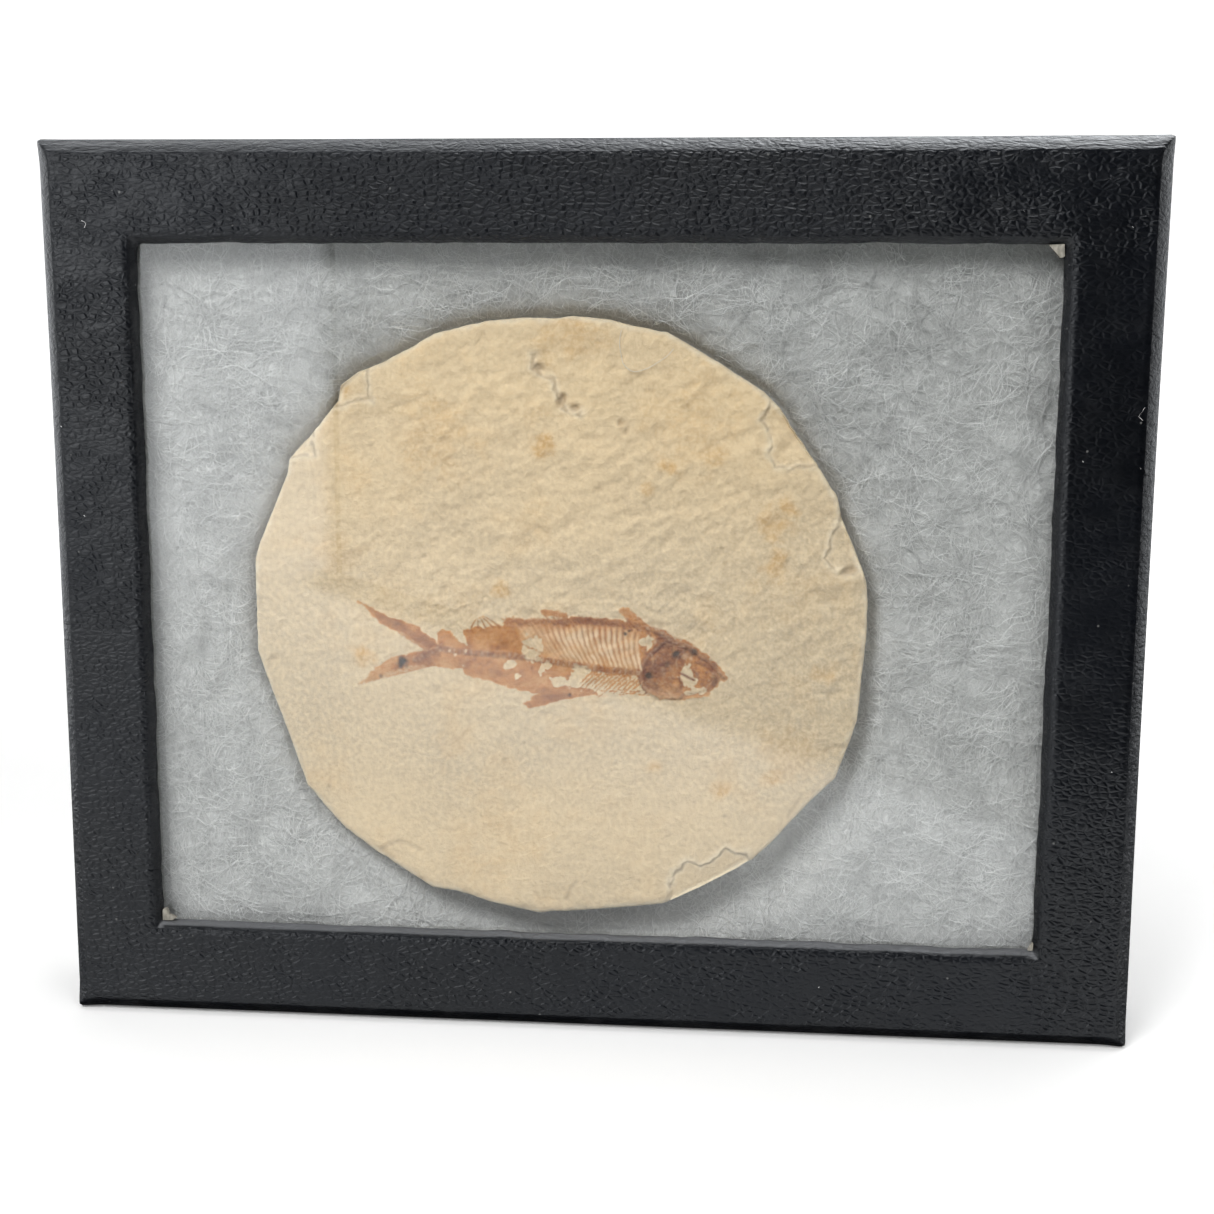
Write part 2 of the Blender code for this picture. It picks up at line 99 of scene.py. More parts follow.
# Lint and specks of dust on the front of the lid
LINT_RADIUS_MM = 0.05
LINT = (
    [(67.79, 25.22), (67.2, 24.25), (67.14, 24.13), (67.64, 23.65)],
    [(-64.12, 47.41), (-63.74, 47.28), (-63.56, 47.04), (-63.77, 46.55)],
    [(-68.1, 21.6), (-67.95, 21.5)], [(-65.6, 10.15), (-65.45, 10.0)], [(65.15, 46.76), (65.35, 46.6)],
    [(67.62, 17.88), (67.8, 17.76)], [(60.66, 18.65), (60.82, 18.52)], [(52.3, 48.6), (52.45, 48.5)],
    [(66.1, -20.4), (66.22, -20.5)], [(-20.4, 49.3), (-20.25, 49.4)], [(30.2, -50.4), (30.36, -50.3)],
)

# The tray: the steps by which its walls rise from the back, and its board
TRAY_STEPS = (0.35 * MM, 2.0 * MM, 4.0 * MM)
TRAY_BOARD = 0.85 * MM

# The batting: its flat front, its deepest hollow and its rounded edge
PAD_FRONT_MM = -4.62
PAD_DEEPEST_MM = 5.2
PAD_ROUND_MM = 2.5
# Rings round its sides, the step between them, and the depth that they are counted from
PAD_RINGS = 3
PAD_RING_MM = 3.0
PAD_SIDE_MM = -2.0
# The hollow's depth at steps clear of the slab's outline
HOLLOW_CLEAR_MM = (0.2, 0.8, 1.8, 3.0, 4.5, 6.5, 9.0)
HOLLOW_DEPTH_MM = (4.2, 2.7, 1.8, 1.2, 0.7, 0.3, 0.0)
# The loose fibres: points in each, the way between them, how high they rise, the depth of the glass's
# back that they stay behind, and the first seed
FIBRE_POINTS = 22
FIBRE_STEP_MM = 0.75
FIBRE_LIFT_MM = 0.75
FIBRE_FRONT_MM = -5.4
FIBRE_SEED = 101

# The slab's face, measured from the middle of the case's depth, and its centre and outline
SLAB_FACE_MM = -4.6
SLAB_CENTRE = (-4.6, -3.7)
SLAB_OUTLINE = [
    (-44.5, 4.0), (-44.0, 6.0), (-42.2, 10.1), (-39.9, 15.4), (-39.6, 17.3), (-37.2, 20.0), (-35.1, 22.4),
    (-32.9, 25.0), (-32.6, 26.9), (-30.3, 28.6), (-27.2, 29.8), (-23.0, 32.0), (-20.3, 33.6), (-13.7, 35.2),
    (-8.7, 35.6), (-2.6, 35.8), (1.3, 35.6), (5.4, 34.6), (9.4, 33.9), (12.6, 32.1), (15.9, 30.2),
    (21.6, 26.6), (23.8, 24.5), (26.4, 20.6), (29.0, 16.9), (31.3, 13.3), (31.8, 10.8), (33.0, 8.1),
    (35.3, 2.5), (35.5, -0.3), (35.4, -5.0), (34.9, -10.4), (34.6, -15.6), (33.7, -18.4), (32.0, -23.4),
    (28.8, -26.6), (24.1, -32.1), (21.4, -34.9), (17.6, -37.1), (14.6, -38.8), (9.5, -41.4), (0.8, -42.4),
    (-6.9, -43.2), (-13.7, -41.9), (-18.1, -40.5), (-21.4, -40.1), (-25.2, -37.7), (-29.6, -34.9),
    (-33.1, -32.3), (-36.2, -28.8), (-38.3, -26.3), (-40.5, -19.6), (-43.3, -11.8), (-44.5, -8.1),
    (-44.6, -3.6),
]
# The rim behind the face, from front to back: share of the outline, depth behind the face, roughness
FACE_SHARE = 0.991
RIM_RINGS = ((0.997, 0.35, 0.12), (1.0, 0.9, 0.1), (0.992, 2.2, 0.35), (0.975, 4.0, 0.45), (0.945, 6.5, 0.4))
BACK_SHARES = (0.9, 0.7, 0.45, 0.2)

# Flakes lost from the face: the step's edge, then the far side, where the flake may fade out
FLAKES = {
    "upper_right": (
        [(22.2, 24.4), (21.4, 22.9), (22.5, 20.6), (22.4, 18.7), (23.4, 17.2), (24.8, 16.8), (26.4, 17.5),
         (28.1, 17.2)],
        [(34.0, 16.0), (32.0, 26.0), (25.0, 31.0)], 0.6),
    "right": (
        [(32.0, 11.8), (31.2, 10.2), (30.4, 8.1), (29.8, 5.5), (30.5, 4.5), (33.0, 3.4)],
        [(38.0, 2.5), (37.0, 12.0)], 0.6),
    "lower_right": (
        [(10.4, -38.4), (10.9, -36.9), (12.7, -35.0), (14.6, -35.7), (16.0, -34.8), (17.8, -32.9),
         (19.0, -34.0), (20.6, -33.6)],
        [(24.0, -40.0), (16.0, -44.0), (10.0, -43.0)], 0.6),
    "upper_left": (
        [(-33.6, 24.0), (-32.0, 24.4), (-30.2, 25.2), (-28.5, 25.1), (-28.9, 27.2), (-28.6, 29.4)],
        [(-29.2, 33.0), (-38.0, 28.0)], 0.6),
    "left": (
        [(-40.4, 17.4), (-38.3, 17.7), (-36.1, 17.8), (-36.6, 19.6), (-36.2, 21.2)],
        [(-38.4, 25.0), (-43.0, 19.0)], 0.6),
    "ledge": (
        [(-7.8, 31.0), (-7.5, 29.3), (-6.2, 28.4), (-5.0, 28.1), (-4.6, 26.6), (-3.8, 24.3), (-2.5, 24.0),
         (-1.7, 23.5)],
        [(0.0, 24.8), (-1.6, 26.8), (-2.4, 29.2), (-5.0, 31.4)], 0.0),
}
FLAKE_STEP_MM = 0.24
# Pits: place, half width, depth, how much longer than wide, and turn in degrees
PITS = (
    (-6.9, 29.3, 0.7, 0.55, 1.3, 20.0), (-3.9, 25.2, 0.6, 0.6, 1.9, 65.0),
    (-2.2, 24.3, 0.6, 0.55, 1.4, 10.0), (3.6, 22.5, 0.5, 0.3, 1.2, 40.0),
    (4.3, 21.4, 0.4, 0.25, 1.5, 80.0), (32.9, 3.9, 0.7, 0.75, 1.8, 25.0),
)
# Hairline cracks in the face
CRACKS = (
    [(30.4, -19.6), (31.9, -19.1), (33.4, -19.3)], [(25.9, -28.5), (26.6, -27.3), (27.6, -25.7)],
    [(-3.3, -41.1), (-2.8, -39.6), (-1.9, -38.3)], [(-28.3, -34.8), (-25.8, -33.6), (-22.8, -34.8)],
    [(-42.8, -9.3), (-40.6, -8.3)], [(-33.2, 24.1), (-31.0, 24.8), (-28.5, 25.1)],
)
# Rusty stains: place, radius and strength
STAINS = (
    (-6.5, 19.8, 1.6, 0.9), (7.2, 14.0, 0.9, 0.6), (9.7, 16.9, 1.3, 0.8), (15.2, 18.4, 2.2, 0.5),
    (22.8, 9.9, 2.6, 0.7), (23.4, 4.6, 2.0, 0.8), (25.2, 12.1, 1.4, 0.8), (23.7, -23.7, 1.6, 0.6),
    (30.5, -9.6, 1.6, 0.5), (8.1, -22.1, 1.2, 0.6), (17.1, -25.1, 1.4, 0.7), (-30.3, -8.3, 1.6, 0.9),
    (-12.0, 0.6, 1.2, 0.9), (-32.3, 26.0, 1.0, 1.0), (-2.5, 33.5, 4.5, 0.55), (-20.0, 20.0, 5.0, 0.35),
    (26.0, -20.0, 4.0, 0.35), (-34.0, 5.0, 4.0, 0.3), (12.0, 22.0, 6.0, 0.25), (-18.0, -20.0, 3.0, 0.3),
)
# Dark dots: place and radius
DARK_DOTS = (
    (-21.9, 5.0, 0.3), (16.7, 6.7, 0.25), (26.4, 3.2, 0.3), (-9.0, -19.7, 0.25), (-11.5, -21.9, 0.3),
    (-35.2, -26.3, 0.35), (3.0, -22.2, 0.25), (17.6, -28.8, 0.3),
)

# The fish, belly up, tail on the left: the lowest and highest X, and the lowest and highest Z
FISH_BOX = (-32.0, 18.4, -15.4, -0.6)
# Patches of film: outline and tone, from pale to dark brown
FILM = {
    "body": (
        [(-22.4, -7.6), (-20.1, -6.9), (-20.3, -5.3), (-19.7, -4.7), (-18.4, -4.8), (-17.9, -5.6),
         (-17.1, -6.3), (-16.3, -6.8), (-16.5, -6.0), (-16.7, -4.8), (-16.1, -4.4), (-15.1, -4.3),
         (-13.0, -4.2), (-12.0, -4.1), (-11.6, -4.4), (-11.2, -3.1), (-9.3, -3.0), (-6.4, -3.0),
         (-3.6, -3.0), (-1.7, -2.7), (-0.2, -2.6), (1.3, -2.8), (2.9, -2.8), (4.0, -3.1), (5.2, -3.4),
         (7.3, -3.8), (7.3, -12.5), (6.6, -12.9), (4.1, -13.0), (1.4, -13.1), (-1.3, -13.1),
         (-5.6, -12.9), (-7.8, -13.1), (-8.4, -12.7), (-11.3, -12.2), (-13.7, -11.5), (-16.8, -10.7),
         (-17.0, -9.9), (-18.0, -9.9), (-18.1, -10.2), (-20.3, -9.7), (-22.6, -9.5)], 0.62),
    "rib_field": (
        [(-10.0, -3.9), (-4.0, -3.8), (4.6, -4.2), (6.5, -5.2), (6.0, -9.6), (2.0, -9.3), (-2.0, -8.6),
         (-6.0, -8.2), (-9.0, -6.0)], 0.42),
    "tail_root": (
        [(-24.6, -8.9), (-22.4, -7.6), (-20.1, -6.9), (-18.6, -7.0), (-18.8, -8.6), (-21.2, -9.2),
         (-23.4, -9.4)], 0.66),
    "upper_lobe": (
        [(-20.0, -6.9), (-21.0, -5.7), (-22.2, -4.7), (-22.9, -4.3), (-24.9, -3.7), (-26.8, -3.1),
         (-27.7, -2.7), (-28.2, -2.3), (-29.3, -1.5), (-30.8, -1.1), (-30.7, -1.3), (-29.3, -2.7),
         (-28.2, -3.7), (-26.5, -4.8), (-24.3, -5.6), (-23.0, -6.5), (-21.4, -7.4)], 0.7),
    "lower_lobe": (
        [(-21.4, -7.4), (-23.0, -7.5), (-24.6, -8.3), (-26.3, -8.7), (-27.5, -9.2), (-28.7, -10.0),
         (-29.7, -11.2), (-31.1, -12.3), (-29.1, -11.7), (-27.9, -11.1), (-26.9, -10.5), (-25.4, -10.0),
         (-23.8, -9.6), (-22.6, -9.5), (-21.0, -9.2)], 0.72),
    "pelvic": (
        [(-6.6, -1.9), (-6.2, -2.5), (-4.8, -2.8), (-3.0, -3.0), (-3.4, -2.3), (-4.6, -1.8)], 0.52),
    "pectoral": (
        [(3.5, -1.5), (4.9, -1.4), (5.3, -2.1), (6.3, -3.1), (7.5, -3.8), (4.8, -3.7), (4.0, -2.4)], 0.6),
    "dorsal": (
        [(-7.7, -13.1), (-8.3, -14.0), (-9.0, -14.4), (-7.5, -14.9), (-5.6, -14.4), (-3.7, -13.6),
         (-1.3, -13.1), (-2.9, -12.5), (-5.6, -12.5)], 0.66),
    "head": (
        [(7.0, -3.8), (8.4, -4.1), (9.5, -4.3), (9.9, -4.9), (11.3, -5.4), (12.6, -5.8), (13.6, -6.3),
         (14.0, -7.0), (14.9, -7.3), (15.9, -8.1), (16.8, -9.1), (17.7, -10.3), (17.2, -10.7),
         (16.7, -10.6), (16.6, -11.5), (15.6, -12.2), (15.4, -12.8), (14.4, -13.0), (11.7, -13.4),
         (9.1, -13.5), (8.5, -13.0), (7.1, -12.4), (6.4, -11.4), (6.0, -10.0), (6.5, -8.4), (7.5, -6.6),
         (8.0, -5.4)], 0.84),
    "opercle": (
        [(9.8, -5.2), (8.7, -6.3), (7.7, -7.2), (6.9, -8.4), (6.3, -9.8), (7.4, -10.6), (9.4, -9.9),
         (11.2, -8.9), (11.5, -6.6), (10.6, -5.4)], 1.0),
    "lower_opercle": (
        [(7.0, -11.4), (8.2, -10.6), (10.6, -10.4), (11.3, -11.4), (11.0, -12.4), (8.9, -12.6)], 0.76),
    "under_head": ([(8.5, -13.0), (9.1, -13.5), (11.7, -13.4), (12.1, -12.6), (10.6, -12.4)], 0.72),
    "jaw": ([(13.6, -8.2), (14.5, -8.0), (15.3, -8.6), (16.3, -9.8), (15.5, -11.3), (14.0, -11.0)], 0.72),
}
# Patches whose tone begins sharply at their outline
CRISP_FILM = ("body", "upper_lobe", "lower_lobe", "dorsal")
# Places where the film is lost and the pale stone shows
BARE = {
    "patch_a": [(-9.1, -6.0), (-8.3, -5.2), (-6.7, -5.8), (-6.4, -7.1), (-6.5, -8.3), (-7.5, -9.3),
                (-8.7, -8.6), (-9.4, -7.6)],
    "patch_b": [(-5.4, -11.0), (-2.7, -10.8), (-2.3, -9.0), (-1.0, -8.5), (-0.6, -9.6), (0.4, -10.1),
                (3.0, -10.3), (5.8, -10.5), (6.5, -11.4), (6.6, -12.6), (5.4, -13.2), (2.4, -13.3),
                (1.0, -12.6), (-1.0, -12.3), (-3.7, -12.0), (-5.4, -11.6)],
    "patch_c": [(-11.4, -9.2), (-10.5, -8.6), (-9.6, -9.0), (-10.1, -9.8), (-11.1, -9.8)],
    "patch_d": [(-10.6, -10.3), (-9.4, -10.1), (-9.2, -11.1), (-10.0, -11.1)],
    "patch_e": [(-6.7, -9.3), (-5.7, -8.9), (-5.3, -9.7), (-6.7, -10.1)],
    "patch_f": [(6.6, -5.2), (7.6, -5.0), (7.9, -5.4), (7.0, -6.6), (6.4, -6.4)],
    "cheek_hole": [(11.9, -9.1), (12.8, -8.7), (13.4, -9.6), (13.5, -10.6), (13.4, -11.8), (12.1, -11.9),
                   (11.6, -11.0), (11.5, -9.9)],
    "jaw_gap": [(13.2, -11.7), (15.3, -11.7), (15.4, -12.6), (12.6, -12.7), (12.2, -12.4)],
    "notch": [(-18.1, -10.3), (-18.0, -9.9), (-17.0, -9.8), (-16.7, -10.8)],
}
# The backbone: its line and its number of vertebrae
BACKBONE = [(-23.2, -8.8), (-21.0, -7.6), (-20.2, -7.1), (-17.9, -7.5), (-14.0, -7.8), (-10.3, -8.0),
            (-5.8, -8.5), (-2.5, -9.0), (2.1, -9.6), (6.0, -9.8)]
VERTEBRAE = 46
# The scutes along the belly: their line, its radii from tail to head, and their number
SCUTE_EDGE = [(-11.3, -3.2), (-6.4, -3.2), (-3.6, -3.1), (-1.0, -2.8), (1.3, -3.1), (4.0, -3.4),
              (7.3, -4.1)]
SCUTE_RADII = [0.3, 0.45, 0.6, 0.72, 0.68, 0.55, 0.4]
SCUTES = 40
# The ribs: their number, the first and last X of their tops and feet, and their radii from top to foot
RIB_COUNT = 21
RIB_TOP_RANGE = (-9.9, 5.9)
RIB_FOOT_RANGE = (-6.6, 6.3)
RIB_RADII = [0.12, 0.15, 0.16, 0.16, 0.15, 0.13, 0.09]
# Spines above the backbone, streaks along the back, and strewn fragments of the skull
SPINES = 13
BACK_STREAKS = 16
SKULL_STROKES = 110
# Rays of the fins and the tail: first root and tip, last root and tip, their number and how dark they are
FIN_FANS = (
    ((-20.3, -6.9), (-30.8, -1.1), (-21.6, -7.5), (-24.6, -5.9), 9, 0.45),
    ((-21.6, -7.8), (-25.6, -8.8), (-20.6, -9.4), (-31.0, -12.3), 9, 0.3),
    ((-15.8, -4.4), (-15.1, -3.2), (-12.0, -4.2), (-14.1, -2.7), 5, 0.5),
    ((-3.3, -2.8), (-6.5, -1.9), (-3.1, -2.6), (-4.4, -1.8), 5, 0.25),
    ((7.2, -3.8), (3.6, -1.6), (7.4, -3.8), (4.9, -1.4), 6, 0.3),
    ((-2.8, -13.0), (-8.0, -13.4), (-2.6, -13.2), (-7.6, -14.8), 9, 0.5),
)
# Ridges of the skull: points, radii from end to end, relief, and how dark the bone is
SKULL_RIDGES = (
    ([(7.3, -4.0), (9.5, -4.6), (10.2, -5.4), (12.4, -6.1), (14.2, -7.3), (15.7, -8.5), (17.4, -10.3)],
     [0.3, 0.45, 0.5, 0.5, 0.42, 0.4, 0.22], 0.3, 0.52),
    ([(9.9, -5.2), (8.7, -6.3), (7.6, -7.4), (6.8, -8.5), (6.4, -9.9), (6.7, -11.3), (7.6, -12.4),
      (8.9, -13.0)],
     [0.3, 0.36, 0.4, 0.42, 0.42, 0.4, 0.36, 0.3], 0.28, 0.55),
    ([(8.7, -13.0), (10.4, -13.0), (11.8, -12.9)], [0.4, 0.46, 0.3], 0.2, 0.45),
    ([(11.4, -12.6), (13.6, -12.3), (15.5, -11.8)], [0.16, 0.2, 0.14], 0.16, 0.35),
    ([(11.3, -13.1), (13.0, -13.1), (14.9, -12.9)], [0.16, 0.18, 0.12], 0.14, 0.3),
    ([(13.6, -8.3), (14.8, -8.6), (15.9, -9.5), (16.5, -10.6)], [0.2, 0.26, 0.32, 0.24], 0.2, 0.6),
    ([(16.4, -10.4), (15.9, -11.3), (15.3, -12.0)], [0.3, 0.3, 0.2], 0.16, 0.8),
    ([(11.5, -9.8), (12.5, -10.3), (13.4, -10.7)], [0.1, 0.13, 0.1], 0.14, 1.0),
    ([(11.4, -10.4), (11.8, -11.2), (11.7, -11.9)], [0.1, 0.14, 0.1], 0.14, 1.0),
)
# Rounded plates of the skull: place, half length, half height, relief and turn in degrees
SKULL_PLATES = (
    (8.4, -8.2, 1.9, 1.8, 0.2, 10.0), (9.6, -11.2, 2.2, 1.5, 0.16, -8.0),
    (11.2, -7.2, 1.3, 1.0, 0.18, -15.0), (13.4, -7.3, 1.2, 0.8, 0.16, -25.0),
    (14.6, -9.9, 1.1, 1.5, 0.16, 15.0), (9.9, -5.9, 1.6, 0.9, 0.14, -35.0), (7.5, -10.4, 0.6, 0.6, 0.2, 0.0),
)
# Charred or bluish spots: place, radius and strength
CHAR_SPOTS = (
    (-25.0, -9.2, 0.8, 1.0), (11.1, -7.3, 0.62, 0.9), (13.3, -7.0, 0.6, 0.75), (7.5, -10.3, 0.6, 0.85),
    (9.9, -8.6, 0.5, 0.45), (4.4, -4.8, 0.26, 0.9), (4.9, -4.4, 0.2, 0.8), (-2.8, -13.0, 0.22, 0.7),
    (-27.9, -11.1, 0.25, 0.6), (16.0, -10.8, 0.6, 0.4), (12.2, -6.7, 0.35, 0.5), (10.6, -6.8, 0.3, 0.4),
)
# Pale bony flecks: place, radius and strength
PALE_FLECKS = (
    (12.2, -7.5, 0.5, 0.35), (-18.6, -7.5, 0.25, 0.9), (-16.5, -7.5, 0.25, 0.8), (-17.9, -8.0, 0.25, 0.9),
    (-19.9, -7.5, 0.2, 0.6), (9.4, -9.4, 0.4, 0.25), (12.9, -7.9, 0.3, 0.4), (8.2, -5.6, 0.4, 0.4),
)
# The loose fibre that rests on the slab: its path and radius, and how far it lies in front of the stone
FIBRE_ON_FACE = [(3.7, 34.1), (3.4, 32.5), (3.9, 29.8), (5.2, 28.8), (7.1, 29.3), (9.6, 30.9), (10.3, 31.8)]
FIBRE_ON_FACE_MM = 0.035
FIBRE_CLEAR_MM = 0.17

# The camera, fitted to the case's corners and the window's corners in the photograph
CAMERA_PLACE = (0.0228, -0.2335, 0.0961)
CAMERA_TURN = (80.12, -0.20, 5.24)
CAMERA_LENS_MM = 53.34
SENSOR_MM = 36.0

# The white sweep: its place, its size, and the steps back and up of the part that rises behind the case
SWEEP_PLACE = (0.0, -0.35, -0.0002)
SWEEP_SIZE = (3.0, 1.7, 1.0)
SWEEP_RISE = ((0.35, 0.25), (0.1, 1.2))
SWEEP_ROUND = 0.3
# Lights: name, place, target, width and height
LIGHTS = (
    ("key", (-0.17, -0.32, 0.39), (0.0, 0.0, 0.05), 0.24, 0.16),
    ("fill", (0.4, -0.45, 0.42), (0.02, 0.0, 0.07), 0.3, 0.3),
    ("top", (0.06, -0.05, 0.75), (0.02, 0.0, 0.05), 0.7, 0.35),
)
# What the glass and the covering mirror: the near part of the white paper, a bright side on the left,
# a dimmer middle, the ceiling and two walls. Each card has its material's name, the setting that gives
# its strength, the shares of it between two stops along X (first and last stop, first and last share),
# and its outline.
CARDS = {
    "near_paper": ("paper glow", "reflected", (-0.15, 0.0, 1.25, 1.1), [
        (-0.6, -0.01, 0.0), (0.17, -0.01, 0.0), (-0.15, -0.42, 0.0), (-0.6, -0.99, 0.0)]),
    "bright_side": ("side glow", "reflected", (-0.188, -0.179, 1.55, 0.5), [
        (-0.7, -0.6, -0.3), (-0.179, -0.6, -0.3), (-0.179, -0.6, 0.12), (-0.7, -0.6, 0.12)]),
    "high_side": ("window glow", "reflected", (-0.188, -0.179, 3.2, 0.5), [
        (-0.7, -0.6, 0.12), (-0.179, -0.6, 0.12), (-0.179, -0.6, 0.5), (-0.7, -0.6, 0.5)]),
    "dim_middle": ("room glow", "reflected", (-0.179, 0.1, 0.5, 0.02), [
        (-0.179, -0.61, -0.3), (0.3, -0.61, -0.3), (0.3, -0.61, 0.45), (-0.179, -0.61, 0.45)]),
    "ceiling": ("ceiling glow", "ceiling", (-0.1, 0.2, 1.0, 3.2), [
        (-0.6, -0.2, 0.7), (-0.6, 0.6, 0.7), (0.6, 0.6, 0.7), (0.6, 0.1, 0.7), (0.1, -0.2, 0.7)]),
    "left_wall": ("wall glow", "walls", (-0.4, 0.4, 1.0, 1.0), [
        (-0.6, -0.15, -0.1), (-0.6, 0.9, -0.1), (-0.6, 0.9, 0.8), (-0.6, -0.15, 0.8)]),
    "right_wall": ("wall glow", "walls", (-0.4, 0.4, 1.0, 1.0), [
        (0.6, -0.15, -0.1), (0.6, 0.9, -0.1), (0.6, 0.9, 0.8), (0.6, -0.15, 0.8)]),
}
# The near paper's slanted far edge: its direction's X and Y, the distances where the light begins and
# is full, and the distance near the case where it has fallen to the last number
PAPER_EDGE = (-0.792, 0.61, -0.125, -0.109, -0.03, 0.6)
# Left of the first X the paper keeps the first share of its light at that edge, right of the other the last
PAPER_EDGE_KEPT = (-0.142, -0.126, 1.2, 0.1)


class CaseSettings(bpy.types.PropertyGroup):
    """Sizes and colours of the case."""

    shoulder: FloatProperty(
        name="Shoulder radius", description="Rounding between the front and the sides of the lid",
        default=2.0 * MM, unit="LENGTH")
    side_bow: FloatProperty(
        name="Side bow", description="How far the sides pull in between the corners",
        default=0.14 * MM, unit="LENGTH")
    leather: FloatVectorProperty(
        name="Leatherette", description="Colour of the covering", subtype="COLOR",
        default=(0.0014, 0.0018, 0.0028))
    board: FloatVectorProperty(
        name="Board", description="Colour of the bare board", subtype="COLOR", default=(0.36, 0.34, 0.29))


class BattingSettings(bpy.types.PropertyGroup):
    """Sizes and colours of the batting."""

    fibres: IntProperty(name="Fibres", description="Fibres in each layer", default=1900, min=1)
    layers: IntProperty(name="Layers", description="Layers of loose fibres", default=4, min=1)
    fibre_radius: FloatProperty(
        name="Fibre radius", description="Radius of one fibre", default=0.04 * MM, unit="LENGTH")
    pad: FloatVectorProperty(
        name="Pad", description="Colour of the pad under the fibres", subtype="COLOR",
        default=(0.56, 0.565, 0.56))
    fibre: FloatVectorProperty(
        name="Fibre", description="Colour of the fibres", subtype="COLOR", default=(0.85, 0.855, 0.85))


class SlabSettings(bpy.types.PropertyGroup):
    """Sizes and colours of the slab."""

    spacing: FloatProperty(
        name="Spacing", description="Spacing of the points on the slab's face, halved on the fish",
        default=0.3 * MM, unit="LENGTH")
    stone: FloatVectorProperty(
        name="Stone", description="Colour of the limestone", subtype="COLOR", default=(0.79, 0.61, 0.38))
    grey: FloatVectorProperty(
        name="Grey stone", description="Colour of the greyer clouds", subtype="COLOR",
        default=(0.53, 0.43, 0.30))
    stain: FloatVectorProperty(
        name="Stain", description="Colour of the rusty stains", subtype="COLOR", default=(0.61, 0.35, 0.11))
    film: FloatVectorProperty(
        name="Film", description="Colour of the fossil film", subtype="COLOR", default=(0.48, 0.19, 0.046))
    # Also the colour of the painted shade beside the ribs and spines
    bone: FloatVectorProperty(
        name="Bone", description="Colour of the fossil bones", subtype="COLOR", default=(0.15, 0.03, 0.007))


class StageSettings(bpy.types.PropertyGroup):
    """Light of the studio."""

    key_power: FloatProperty(
        name="Key", description="Power of the key light", default=1.75, subtype="POWER")
    fill_power: FloatProperty(
        name="Fill", description="Power of the light on the right", default=1.2, subtype="POWER")
    top_power: FloatProperty(
        name="Top", description="Power of the overhead light", default=2.2, subtype="POWER")
    sky: FloatProperty(name="Sky", description="Strength of the light all round", default=0.3)
    reflected: FloatProperty(
        name="Reflected paper", description="Brightness of the white paper that the glass mirrors",
        default=2.1)
    ceiling: FloatProperty(
        name="Ceiling", description="Brightness of the ceiling that the shoulders mirror", default=4.0)
    walls: FloatProperty(
        name="Walls", description="Brightness of the walls that the side shoulders mirror", default=2.2)


def deselect_all():
    """Leave edit mode and select nothing."""
    if bpy.context.object and bpy.context.object.mode != "OBJECT":
        bpy.ops.object.mode_set(mode="OBJECT")
    bpy.ops.object.select_all(action="DESELECT")


def pick(obj):
    """Select one piece alone and make it the active one."""
    deselect_all()
    bpy.context.view_layer.objects.active = obj
    obj.select_set(True)


def edit_mesh(obj):
    """Enter edit mode on one piece and give its editable mesh."""
    pick(obj)
    bpy.ops.object.mode_set(mode="EDIT")
    return bmesh.from_edit_mesh(obj.data)


def select_parts(obj, kind, wanted):
    """Select the edges or the faces for which wanted is true."""
    bm = bmesh.from_edit_mesh(obj.data)
    bpy.ops.mesh.select_all(action="DESELECT")
    bpy.ops.mesh.select_mode(type=kind)
    for part in bm.edges if kind == "EDGE" else bm.faces:
        part.select = wanted(part)
    bm.select_flush_mode()
    bmesh.update_edit_mesh(obj.data)


def select_border(obj):
    """Select the open edges of a piece."""
    select_parts(obj, "EDGE", lambda edge: edge.is_boundary)


def push_edges(back, up=0.0):
    """Extrude the selected edges back along Y and up along Z."""
    bpy.ops.mesh.extrude_edges_move(TRANSFORM_OT_translate={"value": (0.0, back, up)})


def push_ring(back, scale_x, scale_z, centre):
    """Extrude the selected ring back and scale it about a centre."""
    push_edges(back)
    bpy.ops.transform.resize(value=(scale_x, 1.0, scale_z), center_override=centre)


def close_piece():
    """Turn all faces of the piece outwards and leave edit mode."""
    bpy.ops.mesh.select_all(action="SELECT")
    bpy.ops.mesh.normals_make_consistent(inside=False)
    bpy.ops.object.mode_set(mode="OBJECT")


def window_plane(name, low, high, depth, columns=1, rows=1):
    """A flat grid that faces -Y between two corners, at one depth."""
    deselect_all()
    middle = ((low.x + high.x) / 2, depth, (low.z + high.z) / 2)
    bpy.ops.mesh.primitive_grid_add(
        x_subdivisions=columns, y_subdivisions=rows, size=1.0, location=middle,
        rotation=(math.pi / 2, 0.0, 0.0))
    obj = bpy.context.object
    obj.name = name
    obj.scale = (high.x - low.x, high.z - low.z, 1.0)
    bpy.ops.object.transform_apply(location=True, rotation=True, scale=True)
    return obj


def finish_piece(obj, material, nodes=(), angle=None):
    """Give a piece its material and smooth shading, put it under its body, and hide the imported parts that
    it stands for.
    """
    pick(obj)
    obj.data.materials.clear()
    obj.data.materials.append(material)
    if angle is None:
        bpy.ops.object.shade_smooth()
    else:
        bpy.ops.object.shade_smooth_by_angle(angle=math.radians(angle))
    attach(obj, "root")
    if nodes:
        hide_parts(*nodes)


def points_of(mesh):
    """The places of a mesh's points as rows."""
    flat = np.empty(len(mesh.vertices) * 3)
    mesh.vertices.foreach_get("co", flat)
    return flat.reshape(-1, 3)


def set_points(mesh, places):
    """Move a mesh's points to the places in rows."""
    mesh.vertices.foreach_set("co", places.ravel())
    mesh.update()


def window_places(mesh):
    """X, Y and Z of a mesh's points in millimetres, with Z measured from the middle of the window."""
    x, y, z = points_of(mesh).T / MM
    return x, y, z - MIDDLE / MM


